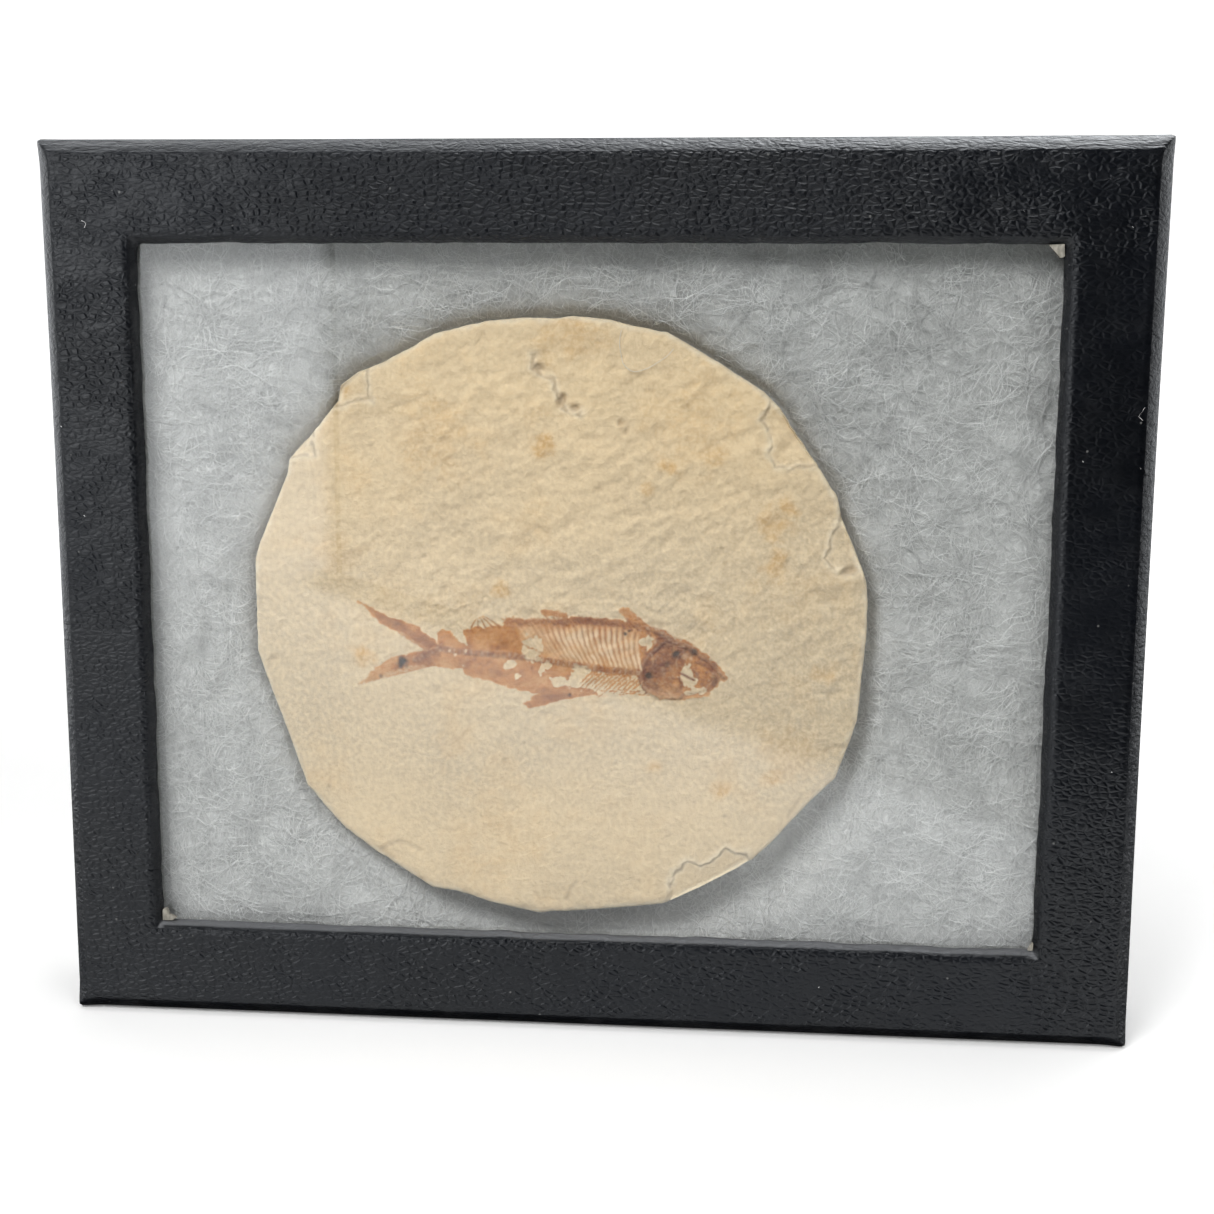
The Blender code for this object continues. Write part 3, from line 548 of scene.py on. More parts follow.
def set_window_places(mesh, x, y, z):
    """Move a mesh's points to such places."""
    set_points(mesh, np.stack([x * MM, y * MM, z * MM + MIDDLE], axis=1))


def face_places(bm):
    """X and Z of the middles of the faces, in the same way."""
    centres = np.array([face.calc_center_median() for face in bm.faces]) / MM
    return centres[:, 0], centres[:, 2] - MIDDLE / MM


def vertex_places(vertices):
    """X and Z of vertices in edit mode, in the same way."""
    x = np.array([vertex.co.x for vertex in vertices]) / MM
    z = (np.array([vertex.co.z for vertex in vertices]) - MIDDLE) / MM
    return x, z


def set_vertex_places(vertices, x, z):
    """Move vertices in edit mode to such places."""
    for vertex, place_x, place_z in zip(vertices, x, z):
        vertex.co.x, vertex.co.z = place_x * MM, place_z * MM + MIDDLE


def smooth_step(low, high, value):
    """From 0 at low to 1 at high, with soft ends; low may be the greater."""
    share = np.clip((value - low) / (high - low), 0.0, 1.0)
    return share * share * (3.0 - 2.0 * share)


def lumps(x, y, size, seed):
    """Smooth noise from -1 to 1 over a plane; size is the width of one lump."""
    table = np.random.default_rng(seed).uniform(-1.0, 1.0, (128, 128))
    u, v = x / size, y / size
    i, j = np.floor(u).astype(int), np.floor(v).astype(int)
    u, v = u - i, v - j
    u, v = u * u * (3.0 - 2.0 * u), v * v * (3.0 - 2.0 * v)
    near = table[i % 128, j % 128] * (1 - u) + table[(i + 1) % 128, j % 128] * u
    far = table[i % 128, (j + 1) % 128] * (1 - u) + table[(i + 1) % 128, (j + 1) % 128] * u
    return near * (1 - v) + far * v


def rough(x, y, size, seed, layers=3):
    """Lumps of several sizes added up, from about -1 to 1."""
    total = np.zeros_like(x)
    for layer in range(layers):
        u, v = turned(x, y, 29.0 + 41.0 * layer)
        total += lumps(u + 17.3 * layer, v - 9.1 * layer, size * 0.5**layer, seed + layer) * 0.55**layer
    return total


def turned(x, y, degrees):
    """Places read on axes that are turned by some degrees."""
    angle = math.radians(degrees)
    return x * math.cos(angle) + y * math.sin(angle), -x * math.sin(angle) + y * math.cos(angle)


def sides_of(outline):
    """The sides of a closed outline."""
    return zip(outline, [*outline[1:], outline[0]])


def along_side(x, z, start, end):
    """Where on a straight side the nearest place is, from 0 to 1, and how far away."""
    (ax, az), (bx, bz) = start, end
    ex, ez = bx - ax, bz - az
    share = np.clip(((x - ax) * ex + (z - az) * ez) / max(ex * ex + ez * ez, 1e-12), 0.0, 1.0)
    return share, np.hypot(x - ax - share * ex, z - az - share * ez)


def edge_distance(x, z, outline):
    """Distance to a closed outline, in its own unit: positive inside, negative outside."""
    best = np.full(x.shape, np.inf)
    inside = np.zeros(x.shape, dtype=bool)
    for (ax, az), (bx, bz) in sides_of(outline):
        best = np.minimum(best, along_side(x, z, (ax, az), (bx, bz))[1])
        if az != bz:
            crosses = (az > z) != (bz > z)
            inside ^= crosses & (x < (bx - ax) * (z - az) / (bz - az) + ax)
    return np.where(inside, best, -best)


def nearest_on_outline(x, z, outline):
    """The nearest places on a closed outline."""
    best = np.full(x.shape, np.inf)
    near_x, near_z = x, z
    for start, end in sides_of(outline):
        share, reach = along_side(x, z, start, end)
        closer = reach < best
        best = np.where(closer, reach, best)
        near_x = np.where(closer, mix(start[0], end[0], share), near_x)
        near_z = np.where(closer, mix(start[1], end[1], share), near_z)
    return near_x, near_z


def stroke(x, z, path, radii):
    """How far inside a stroke of changing radius each place is, and how far along the path."""
    depth = np.full(x.shape, -np.inf)
    along = np.zeros(x.shape)
    count = len(path) - 1
    for k in range(count):
        share, reach = along_side(x, z, path[k], path[k + 1])
        here = mix(radii[k], radii[k + 1], share) - reach
        along = np.where(here > depth, (k + share) / count, along)
        depth = np.maximum(depth, here)
    return depth, along


def mix(under, over, share):
    """From under at 0 to over at 1."""
    return under + (over - under) * share


def feed(tree, socket, value):
    """Give an input a value, or the socket that feeds it."""
    if isinstance(value, bpy.types.NodeSocket):
        tree.links.new(value, socket)
    else:
        socket.default_value = value


def add_node(tree, kind, inputs=None, **settings):
    """Add a shader node with its settings, and values or sockets for its inputs."""
    node = tree.nodes.new(kind)
    for key, value in settings.items():
        setattr(node, key, value)
    for key, value in (inputs or {}).items():
        feed(tree, node.inputs[key], value)
    return node


def object_place(tree):
    """The place on the piece, in metres."""
    return add_node(tree, "ShaderNodeTexCoord").outputs["Object"]


def attribute(tree, name):
    """One number that the mesh keeps for each point."""
    return add_node(tree, "ShaderNodeAttribute", attribute_name=name).outputs["Fac"]


def stretched(tree, vector, scale, rotation=(0.0, 0.0, 0.0)):
    """A place scaled and turned, so that a pattern on it is stretched or slanted."""
    inputs = {"Vector": vector, "Scale": scale, "Rotation": rotation}
    return add_node(tree, "ShaderNodeMapping", inputs).outputs["Vector"]


def noise_of(tree, vector, scale, detail=2.0, roughness=0.5, distortion=0.0):
    """Soft noise from 0 to 1."""
    inputs = {"Vector": vector, "Scale": scale, "Detail": detail, "Roughness": roughness,
              "Distortion": distortion}
    return add_node(tree, "ShaderNodeTexNoise", inputs).outputs["Fac"]


def ranged(tree, value, low, high, to_low=0.0, to_high=1.0):
    """Map a value from one range to another, clamped, with soft ends."""
    inputs = {"Value": value, "From Min": low, "From Max": high, "To Min": to_low, "To Max": to_high}
    node = add_node(tree, "ShaderNodeMapRange", inputs, interpolation_type="SMOOTHSTEP")
    return node.outputs["Result"]


def sums(tree, operation, *values):
    """One step of arithmetic on numbers or sockets."""
    return add_node(tree, "ShaderNodeMath", dict(enumerate(values)), operation=operation).outputs[0]


def blend_colours(tree, share, under, over):
    """Mix two colours; a colour may be a socket or three numbers."""
    inputs = {0: share}
    for place, colour in ((6, under), (7, over)):
        inputs[place] = colour if isinstance(colour, bpy.types.NodeSocket) else (*colour, 1.0)
    return add_node(tree, "ShaderNodeMix", inputs, data_type="RGBA").outputs[2]


def scaled(colour, factor):
    """A colour made darker or brighter, no channel above 1."""
    return tuple(min(1.0, channel * factor) for channel in colour)


def split(tree, colour):
    """The three channels of a colour."""
    node = add_node(tree, "ShaderNodeSeparateColor", {"Color": colour})
    return node.outputs["Red"], node.outputs["Green"], node.outputs["Blue"]


def new_material(name):
    """A material with one plain shader, its node tree and that shader."""
    material = bpy.data.materials.new(name)
    material.use_nodes = True
    return material, material.node_tree, material.node_tree.nodes["Principled BSDF"]


def bump_of(tree, height, distance, under=None):
    """The normal of a bump, on top of another normal where one is given."""
    inputs = {"Height": height, "Distance": distance}
    if under is not None:
        inputs["Normal"] = under
    return add_node(tree, "ShaderNodeBump", inputs).outputs["Normal"]


def dress(tree, shader, colour, roughness, normal=None, specular=None):
    """Feed a shader's colour, roughness and normal, and set its specular level."""
    feed(tree, shader.inputs["Base Color"], colour)
    feed(tree, shader.inputs["Roughness"], roughness)
    if normal is not None:
        feed(tree, shader.inputs["Normal"], normal)
    if specular is not None:
        shader.inputs["Specular IOR Level"].default_value = specular


def emission_unsampled(material):
    """Keep a glowing surface from being treated as a lamp, which only adds noise."""
    material.cycles.emission_sampling = "NONE"
    return material


def new_group(name, numbers, outputs):
    """An empty node group with a place and named numbers going in, and numbers coming out."""
    tree = bpy.data.node_groups.new(name, "ShaderNodeTree")
    tree.interface.new_socket("Vector", in_out="INPUT", socket_type="NodeSocketVector")
    for label, default in numbers.items():
        socket = tree.interface.new_socket(label, in_out="INPUT", socket_type="NodeSocketFloat")
        socket.default_value = default
    for label in outputs:
        tree.interface.new_socket(label, in_out="OUTPUT", socket_type="NodeSocketFloat")
    return tree, tree.nodes.new("NodeGroupInput").outputs, tree.nodes.new("NodeGroupOutput").inputs


def hide_grain_group():
    """Pebbles and creases pressed into a covering, from large to fine."""
    name = "pressed hide grain"
    if name in bpy.data.node_groups:
        return bpy.data.node_groups[name]
    tree, given, wanted = new_group(
        name, {"Pebbles per metre": 900.0, "Crease share": 0.3}, ("Height", "Creases"))
    place = given["Vector"]
    warp = add_node(tree, "ShaderNodeTexNoise", {"Vector": place, "Scale": 500.0, "Detail": 2.0})
    shifted = add_node(
        tree, "ShaderNodeVectorMath", {0: warp.outputs["Color"], 1: (0.6 * MM, 0.6 * MM, 0.6 * MM), 2: place},
        operation="MULTIPLY_ADD")
    cells = add_node(
        tree, "ShaderNodeTexVoronoi",
        {"Vector": shifted.outputs["Vector"], "Scale": given["Pebbles per metre"]},
        feature="DISTANCE_TO_EDGE")
    creases = ranged(tree, cells.outputs["Distance"], 0.0, given["Crease share"], 1.0, 0.0)
    fine = noise_of(tree, place, 2100.0, 3.0, 0.65, 0.6)
    flat = noise_of(tree, place, 260.0, 3.0, 0.6)
    patchy = ranged(tree, flat, 0.3, 0.66, 0.25, 1.0)
    deep = sums(tree, "MULTIPLY", creases, patchy)
    height = sums(tree, "SUBTRACT", sums(tree, "MULTIPLY", fine, 0.8), sums(tree, "MULTIPLY", deep, 1.1))
    tree.links.new(height, wanted["Height"])
    tree.links.new(deep, wanted["Creases"])
    return tree


def scuff_group():
    """Rubbed and dusty patches, stronger where the mask is high."""
    name = "scuffs and dust"
    if name in bpy.data.node_groups:
        return bpy.data.node_groups[name]
    tree, given, wanted = new_group(name, {"Mask": 0.0, "Dust": 0.3}, ("Scuffs", "Dust"))
    place = given["Vector"]
    patches = noise_of(tree, place, 220.0, 4.0, 0.65)
    scuffs = sums(tree, "MULTIPLY", ranged(tree, patches, 0.42, 0.7), given["Mask"])
    specks = add_node(tree, "ShaderNodeTexVoronoi", {"Vector": place, "Scale": 420.0, "Randomness": 1.0})
    near = ranged(tree, specks.outputs["Distance"], 0.03, 0.09, 1.0, 0.0)
    rare = ranged(tree, noise_of(tree, place, 900.0, 1.0), 0.55, 0.62)
    dust = sums(tree, "MULTIPLY", sums(tree, "MULTIPLY", near, rare), given["Dust"])
    tree.links.new(scuffs, wanted["Scuffs"])
    tree.links.new(dust, wanted["Dust"])
    return tree


def leather_material(settings):
    """Black covering pressed with a hide grain, satin, paler where it is rubbed, with a painted sheen in grey
    on the window's lip.
    """
    material, tree, shader = new_material("black leatherette")
    place = object_place(tree)
    grain = add_node(
        tree, "ShaderNodeGroup",
        {"Vector": stretched(tree, place, (0.75, 1.0, 1.2)), "Pebbles per metre": 1150.0},
        node_tree=hide_grain_group()).outputs
    rubbed = attribute(tree, "rubbed")
    wear = add_node(
        tree, "ShaderNodeGroup", {"Vector": place, "Mask": rubbed, "Dust": 0.35},
        node_tree=scuff_group()).outputs
    clouds = ranged(tree, noise_of(tree, place, 60.0, 3.0), 0.3, 0.7)
    base = blend_colours(tree, clouds, settings.leather, scaled(settings.leather, 1.5))
    base = blend_colours(tree, wear["Scuffs"], base, (0.012, 0.0125, 0.0135))
    # Painted sheen: where the mask rises above 1, on the window's lip, the covering is painted grey
    base = blend_colours(tree, ranged(tree, rubbed, 1.0, 2.0), base, (0.105, 0.108, 0.113))
    base = blend_colours(tree, wear["Dust"], base, (0.3, 0.3, 0.29))
    sheen = sums(tree, "MULTIPLY_ADD", clouds, 0.05, 0.28)
    sheen = sums(tree, "MULTIPLY_ADD", grain["Creases"], 0.12, sheen)
    fold = attribute(tree, "folds")
    streaks = noise_of(tree, stretched(tree, place, (0.25, 1.0, 1.0)), 1500.0, 3.0, 0.6, 0.6)
    under = bump_of(tree, sums(tree, "MULTIPLY", streaks, fold), 0.25 * MM)
    smoother = ranged(tree, fold, 0.1, 0.9, 1.0, 0.2)
    shown = sums(tree, "MULTIPLY", smoother, attribute(tree, "pressed"))
    height = sums(tree, "MULTIPLY", grain["Height"], shown)
    dress(tree, shader, base, sheen, bump_of(tree, height, 0.25 * MM, under), 0.25)
    return material


def rounded_loop(obj, columns, rows, round_off):
    """Turn a one-face plane into a closed loop of short edges with rounded corners."""
    edit_mesh(obj)
    bpy.ops.mesh.select_all(action="SELECT")
    bpy.ops.mesh.bevel(offset=round_off, segments=4, affect="VERTICES")
    bpy.ops.mesh.delete(type="ONLY_FACE")
    for parts, along in ((columns, 0), (rows, 2)):
        for cuts in parts:
            select_parts(
                obj, "EDGE", lambda e: abs((e.verts[0].co - e.verts[1].co)[along]) > LOOP_EDGE)
            bpy.ops.mesh.subdivide(number_cuts=cuts)
    bpy.ops.mesh.select_all(action="SELECT")


def lid_rings(shoulder):
    """Half width, half height and depth of each ring round the lid's section."""
    side_back = BACK - RIM_EDGE
    panel_back = FRONT + PANEL
    wall_x, wall_z = HALF_X - LID_WALL, HALF_Z - LID_WALL
    rings = [(HALF_X - RIM_EDGE, HALF_Z - RIM_EDGE, BACK), (HALF_X, HALF_Z, side_back)]
    for share in np.linspace(0.0, 1.0, 9)[1:]:
        rings.append((HALF_X, HALF_Z, mix(side_back, FRONT + shoulder, share)))
    for turn in np.linspace(0.0, math.pi / 2, 9)[1:]:
        inset = shoulder * (1 - math.cos(turn))
        rings.append((HALF_X - inset, HALF_Z - inset, FRONT + shoulder * (1 - math.sin(turn))))
    for share in np.linspace(0.0, 1.0, 14)[1:]:
        rings.append((mix(HALF_X - shoulder, WINDOW_X + LIP, share),
                      mix(HALF_Z - shoulder, WINDOW_Z + LIP, share), FRONT))
    for share in np.linspace(0.0, 1.0, 7)[1:]:
        turn = share * math.pi / 2
        inset = LIP * mix(1 - math.sin(turn), 1 - share, FACET)
        depth = LIP_DEPTH * mix(1 - math.cos(turn), share, FACET)
        rings.append((WINDOW_X + inset, WINDOW_Z + inset, FRONT + depth))
    for share in (0.5, 1.0):
        rings.append((WINDOW_X, WINDOW_Z, mix(FRONT + LIP_DEPTH, panel_back, share)))
    for share in (0.35, 0.7, 1.0):
        rings.append((mix(WINDOW_X, wall_x, share), mix(WINDOW_Z, wall_z, share), panel_back))
    for share in (0.25, 0.5, 0.75, 1.0):
        rings.append((wall_x, wall_z, mix(panel_back, BACK, share)))
    rings.append(rings[0])
    return rings


def sweep_rings(rings):
    """Extrude the selected loop from ring to ring."""
    for before, after in zip(rings, rings[1:]):
        push_ring(after[2] - before[2], after[0] / before[0], after[1] / before[1], (0.0, after[2], MIDDLE))


def shape_lid(mesh, settings):
    """Pull the sides in between the corners, thin the shoulder there, and loosen the covering."""
    x, y, z = points_of(mesh).T
    radius = settings.shoulder
    gap_x, gap_z = HALF_X - np.abs(x), HALF_Z - np.abs(z - MIDDLE)
    near_side = gap_x < gap_z
    run = np.where(near_side, gap_z, gap_x)
    gap = np.minimum(gap_x, gap_z)
    inner = (gap > 1.5 * MM) & (y > FRONT + 1.0 * MM)
    # The shoulder, flattened a little and thinner towards the corners
    scale = mix(0.75, 1.0, smooth_step(0.0, 3.5 * MM, run))
    arc = (gap < radius + TOUCH) & (y < FRONT + radius + TOUCH)
    fade_gap = np.clip(1 - (gap - radius) / (8.0 * MM), 0.0, 1.0)
    fade_depth = np.clip(1 - (y - FRONT - radius) / (9.0 * MM), 0.0, 1.0)
    on_front = np.abs(y - FRONT) < TOUCH
    on_side = (gap < TOUCH) & (y < BACK - 0.5 * MM)
    turn = np.clip(np.arctan2(radius - gap, radius - (y - FRONT)) / (math.pi / 2), 0.0, 1.0)
    facet_gap = mix(gap, radius * (1 - turn), FACET)
    facet_y = mix(y - FRONT, radius * turn, FACET)
    new_gap = np.where(arc, facet_gap * scale, gap + (scale - 1) * radius * fade_gap * on_front)
    new_y = np.where(arc, FRONT + facet_y * scale, y + (scale - 1) * radius * fade_depth * on_side)
    new_gap, new_y = np.where(inner, gap, new_gap), np.where(inner, y, new_y)
    # The bow of the sides: full at the left and right, half at the top, none where the case stands
    reach = np.clip(1 - gap / (10.0 * MM), 0.0, 1.0)
    pull = settings.side_bow * smooth_step(0.0, 40.0 * MM, run) * reach
    pull = pull * np.where(near_side, 1.0, np.where(z > MIDDLE, 0.5, 0.0))
    new_gap = new_gap + np.where(inner, 0.0, pull)
    x = np.where(near_side, np.sign(x) * (HALF_X - new_gap), x)
    z = np.where(near_side, z, MIDDLE + np.sign(z - MIDDLE) * (HALF_Z - new_gap))
    # The covering's own unevenness on the front
    wander = rough(x / MM, z / MM + y / MM, 7.0, 31) * 0.05 * MM
    ripple = lumps(x / MM * 0.6, z / MM * 0.6 + y / MM, 1.3, 35) * 0.035 * MM
    shell = np.where(inner, 0.0, 1.0) * np.clip(new_gap / (0.6 * MM), 0.0, 1.0)
    on_face = smooth_step(FRONT + 1.2 * MM, FRONT, new_y)
    new_y = new_y + on_face * shell * (np.abs(wander + ripple) + 0.02 * MM)
    # The window's lip, which wavers a little
    past_x, past_z = np.abs(x) - WINDOW_X, np.abs(z - MIDDLE) - WINDOW_Z
    lip = np.clip(1 - np.minimum(np.abs(past_x), np.abs(past_z)) / (1.2 * MM), 0.0, 1.0)
    lip = lip * smooth_step(1.0 * MM, 0.7 * MM, np.maximum(past_x, past_z))
    below_window = smooth_step(-0.1 * MM, 0.2 * MM, past_z - past_x) * (z < MIDDLE)
    waver = rough(x / MM, z / MM, 4.0, 41) * 0.12 * MM
    x = x + lip * waver * np.sign(x)
    z = z + lip * waver * np.sign(z - MIDDLE)
    set_points(mesh, np.stack([x, new_y, z], axis=1))
    # Where the covering is rubbed, folded and pressed with grain, and where a sheen is painted on the
    # window's lip
    rubbed = np.clip(smooth_step(2.4 * MM, 0.2 * MM, new_gap) + 0.2, 0.0, 1.0)
    # Painted sheen on the window's lip, strongest on the lip below the window, which faces the overhead
    # light; it lifts the mask above 1
    lit_lip = mix(1.1, 2.0, below_window) * smooth_step(0.3, 0.75, lip)
    write_mask(mesh, "rubbed", np.maximum(rubbed, lit_lip))
    band = smooth_step(radius * 1.15, radius * 0.85, new_gap) * (new_y < FRONT + radius * 1.3)
    on_top = (z > CASE_HIGH.z - 4.0 * MM) | (np.abs(x) > HALF_X - 4.0 * MM)
    turned_in = 0.7 * smooth_step(0.05, 0.5, lip)
    write_mask(mesh, "folds", np.maximum(band * np.where(on_top, 1.0, 0.7), turned_in))
    write_mask(mesh, "pressed", pressed_depth(x / MM, (z - MIDDLE) / MM))


def pressed_depth(x, z):
    """How deep the grain is pressed: deepest along the top and in the lower right, shallow on the right."""
    top = smooth_step(38.0, 48.0, z) * smooth_step(-55.0, -15.0, x)
    low_right = smooth_step(52.0, 60.0, x) * smooth_step(-12.0, -34.0, z)
    right = smooth_step(56.0, 60.0, x)
    along_top = top * mix(1.0, 0.35, smooth_step(10.0, 55.0, x))
    return mix(0.38, 0.15, right) + 0.72 * along_top + 0.45 * low_right


def write_mask(mesh, name, values):
    """Store one number for each point."""
    layer = mesh.attributes.new(name, "FLOAT", "POINT")
    layer.data.foreach_set("value", np.ascontiguousarray(values, dtype=np.float32))


def write_colours(mesh, name, *masks):
    """Store four masks for each point as one colour layer."""
    layer = mesh.color_attributes.new(name, "FLOAT_COLOR", "POINT")
    values = np.stack(masks, axis=1).astype(np.float32)
    layer.data.foreach_set("color", values.ravel())


class FOSSIL_OT_lid(bpy.types.Operator):
    """Build the leatherette lid with its window"""

    bl_idname = "fossil.lid"
    bl_label = "Lid"

    def execute(self, context):
        settings = context.scene.fossil_case
        rings = lid_rings(settings.shoulder)
        half_x, half_z, depth = rings[0]
        low, high = Vector((-half_x, 0.0, MIDDLE - half_z)), Vector((half_x, 0.0, MIDDLE + half_z))
        lid = window_plane("lid_covering", low, high, depth)
        rounded_loop(lid, LONG_CUTS, SHORT_CUTS, CORNER_ROUND)
        sweep_rings(rings)
        bpy.ops.mesh.select_all(action="SELECT")
        bpy.ops.mesh.remove_doubles(threshold=TOUCH)
        close_piece()
        shape_lid(lid.data, settings)
        finish_piece(lid, leather_material(settings), ["lid"], 60)
        return {"FINISHED"}


def board_material(settings):
    """Bare board where the covering doesn't meet: pale, fibrous and matt."""
    material, tree, shader = new_material("bare board")
    place = object_place(tree)
    fibres = noise_of(tree, stretched(tree, place, (1.0, 1.0, 0.3)), 3000.0, 3.0, 0.6)
    base = blend_colours(tree, ranged(tree, fibres, 0.3, 0.7), scaled(settings.board, 0.55), settings.board)
    dress(tree, shader, base, 0.9, bump_of(tree, fibres, 0.05 * MM))
    return material


class FOSSIL_OT_board_corners(bpy.types.Operator):
    """Build the bits of bare board in the corners of the window"""

    bl_idname = "fossil.board_corners"
    bl_label = "Bare board corners"

    def execute(self, context):
        depth = FRONT + BOARD_BEHIND_FRONT
        parts = []
        for outline in BARE_CORNERS:
            deselect_all()
            bpy.ops.mesh.primitive_circle_add(
                vertices=len(outline), radius=MM, fill_type="NGON", location=(0.0, depth, MIDDLE),
                rotation=(math.pi / 2, 0.0, 0.0))
            part = bpy.context.object
            bpy.ops.object.transform_apply(location=True, rotation=True, scale=True)
            for vertex, (x, z) in zip(part.data.vertices, outline):
                vertex.co = (x * MM, depth, MIDDLE + z * MM)
            edit_mesh(part)
            bpy.ops.mesh.select_all(action="SELECT")
            bpy.ops.mesh.extrude_region_move(TRANSFORM_OT_translate={"value": (0.0, BOARD_THICKNESS, 0.0)})
            bpy.ops.mesh.select_all(action="SELECT")
            bpy.ops.mesh.bevel(offset=0.08 * MM, segments=2)
            close_piece()
            parts.append(part)
        for part in parts:
            part.select_set(True)
        bpy.context.view_layer.objects.active = parts[0]
        bpy.ops.object.join()
        parts[0].name = "bare_board_corners"
        finish_piece(parts[0], board_material(context.scene.fossil_case), angle=40)
        return {"FINISHED"}


class FOSSIL_OT_glass(bpy.types.Operator):
    """Finish the pane of glass"""

    bl_idname = "fossil.glass"
    bl_label = "Glass"

    def execute(self, context):
        material, tree, shader = new_material("clear pane")
        smears = noise_of(tree, stretched(tree, object_place(tree), (1.0, 1.0, 0.4)), 40.0, 3.0)
        dress(tree, shader, (0.985, 1.0, 0.99, 1.0), ranged(tree, smears, 0.45, 0.8, 0.0, 0.02))
        shader.inputs["Transmission Weight"].default_value = 1.0
        shader.inputs["IOR"].default_value = 1.5
        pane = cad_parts["glass"]
        pane.visible_shadow = False
        pane.data.materials.clear()
        pane.data.materials.append(material)
        return {"FINISHED"}


class FOSSIL_OT_tray(bpy.types.Operator):
    """Build the black board tray that closes the back"""

    bl_idname = "fossil.tray"
    bl_label = "Tray"

    def execute(self, context):
        tray = window_plane("tray_board", TRAY_LOW, TRAY_HIGH, TRAY_HIGH.y, 68, 56)
        edit_mesh(tray)
        bpy.ops.mesh.select_all(action="SELECT")
        bpy.ops.mesh.flip_normals()
        select_border(tray)
        for step in (*TRAY_STEPS, TRAY_HIGH.y - TRAY_LOW.y - sum(TRAY_STEPS)):
            push_edges(-step)
        bpy.ops.object.mode_set(mode="OBJECT")
        x, y, z = points_of(tray.data).T
        back = np.abs(y - TRAY_HIGH.y) < TOUCH
        edge = np.minimum(TRAY_HIGH.x - np.abs(x), np.minimum(z - TRAY_LOW.z, TRAY_HIGH.z - z))
        rim = back & (edge < TOUCH)
        half_x, half_z = TRAY_HIGH.x, (TRAY_HIGH.z - TRAY_LOW.z) / 2
        corner = np.where(rim, 0.3 * MM, 0.0)
        x = x * (1 - corner / half_x)
        z = MIDDLE + (z - MIDDLE) * (1 - corner / half_z)
        bow = 0.25 * MM * smooth_step(0.0, 30.0 * MM, edge)
        bow = bow + 0.03 * MM * (rough(x / MM, z / MM, 14.0, 71) + 1.6)
        y = np.where(back, y - bow * (edge > 0.5 * MM), y)
        set_points(tray.data, np.stack([x, y, z], axis=1))
        write_mask(tray.data, "rubbed", smooth_step(2.0 * MM, 0.1 * MM, edge) * back + 0.15)
        write_mask(tray.data, "folds", np.zeros(len(x)))
        write_mask(tray.data, "pressed", np.full(len(x), 0.5))
        pick(tray)
        solid = tray.modifiers.new("wall", "SOLIDIFY")
        solid.thickness = TRAY_BOARD
        solid.offset = -1.0
        bpy.ops.object.modifier_apply(modifier="wall")
        finish_piece(tray, leather_material(context.scene.fossil_case), ["tray"], 50)
        return {"FINISHED"}


def towards(x, z, along_x, along_z):
    """How closely places lie in one direction from the middle of the window, from -1 to 1."""
    return (along_x * x + along_z * z) / np.maximum(np.hypot(x, z), 1.0)


def batting_front(x, z, clear):
    """Depth in millimetres of the pad's surface, at places clear of the slab's outline by so much."""
    relief = 0.22 * rough(x, z, 7.0, 51) + 0.1 * rough(x, z, 1.8, 55, 2)
    below = smooth_step(0.25, 0.95, towards(x, z, 0.45, -0.89))
    underneath = smooth_step(0.6, 0.97, towards(x, z, 0.25, -0.97))
    hollow = np.interp(clear / mix(1.0, 4.0, below), HOLLOW_CLEAR_MM, HOLLOW_DEPTH_MM)
    hollow = hollow + 2.0 * underneath * smooth_step(9.0, 4.0, clear)
    return PAD_FRONT_MM + relief * 0.9 + np.minimum(hollow, PAD_DEEPEST_MM)


def batting_material(settings):
    """Matted polyester: pale grey, with threads and darker thin places."""
    material, tree, shader = new_material("polyester pad")
    place = object_place(tree)
    wisps = noise_of(tree, place, 900.0, 4.0, 0.7, 2.5)
    thin = noise_of(tree, place, 110.0, 3.0, 0.6)
    base = blend_colours(tree, ranged(tree, thin, 0.3, 0.7), scaled(settings.pad, 0.8), settings.pad)
    base = blend_colours(tree, ranged(tree, wisps, 0.45, 0.7), base, scaled(settings.pad, 1.25))
    dress(tree, shader, base, 0.9, bump_of(tree, wisps, 0.25 * MM))
    return material


class FOSSIL_OT_batting(bpy.types.Operator):
    """Build the batting pad with the hollow that holds the slab"""

    bl_idname = "fossil.batting"
    bl_label = "Batting"

    def execute(self, context):
        pad = window_plane("batting_pad", BATTING_LOW, BATTING_HIGH, 0.0, 240, 195)
        edit_mesh(pad)
        select_border(pad)
        for _ in range(PAD_RINGS):
            push_edges(PAD_RING_MM * MM)
        bpy.ops.mesh.edge_face_add()
        close_piece()
        x, y, z = window_places(pad.data)
        clear = -edge_distance(x, z, SLAB_OUTLINE)
        ring = np.round(y / PAD_RING_MM)
        half_x, half_z = BATTING_HIGH.x / MM, (BATTING_HIGH.z - BATTING_LOW.z) / 2 / MM
        border = np.minimum(half_x - np.abs(x), half_z - np.abs(z))
        into_edge = np.maximum(PAD_ROUND_MM - border, 0.0)
        round_off = PAD_ROUND_MM - np.sqrt(np.maximum(PAD_ROUND_MM**2 - into_edge**2, 0.0))
        front = batting_front(x, z, clear) + round_off
        behind = mix(PAD_SIDE_MM, BATTING_HIGH.y / MM, ring / PAD_RINGS)
        tuck = 1 - 0.006 * (ring > PAD_RINGS - 0.5)
        set_window_places(pad.data, x * tuck, np.where(ring < 0.5, front, behind), z * tuck)
        finish_piece(pad, batting_material(context.scene.fossil_batting), ["batting"], 80)
        return {"FINISHED"}


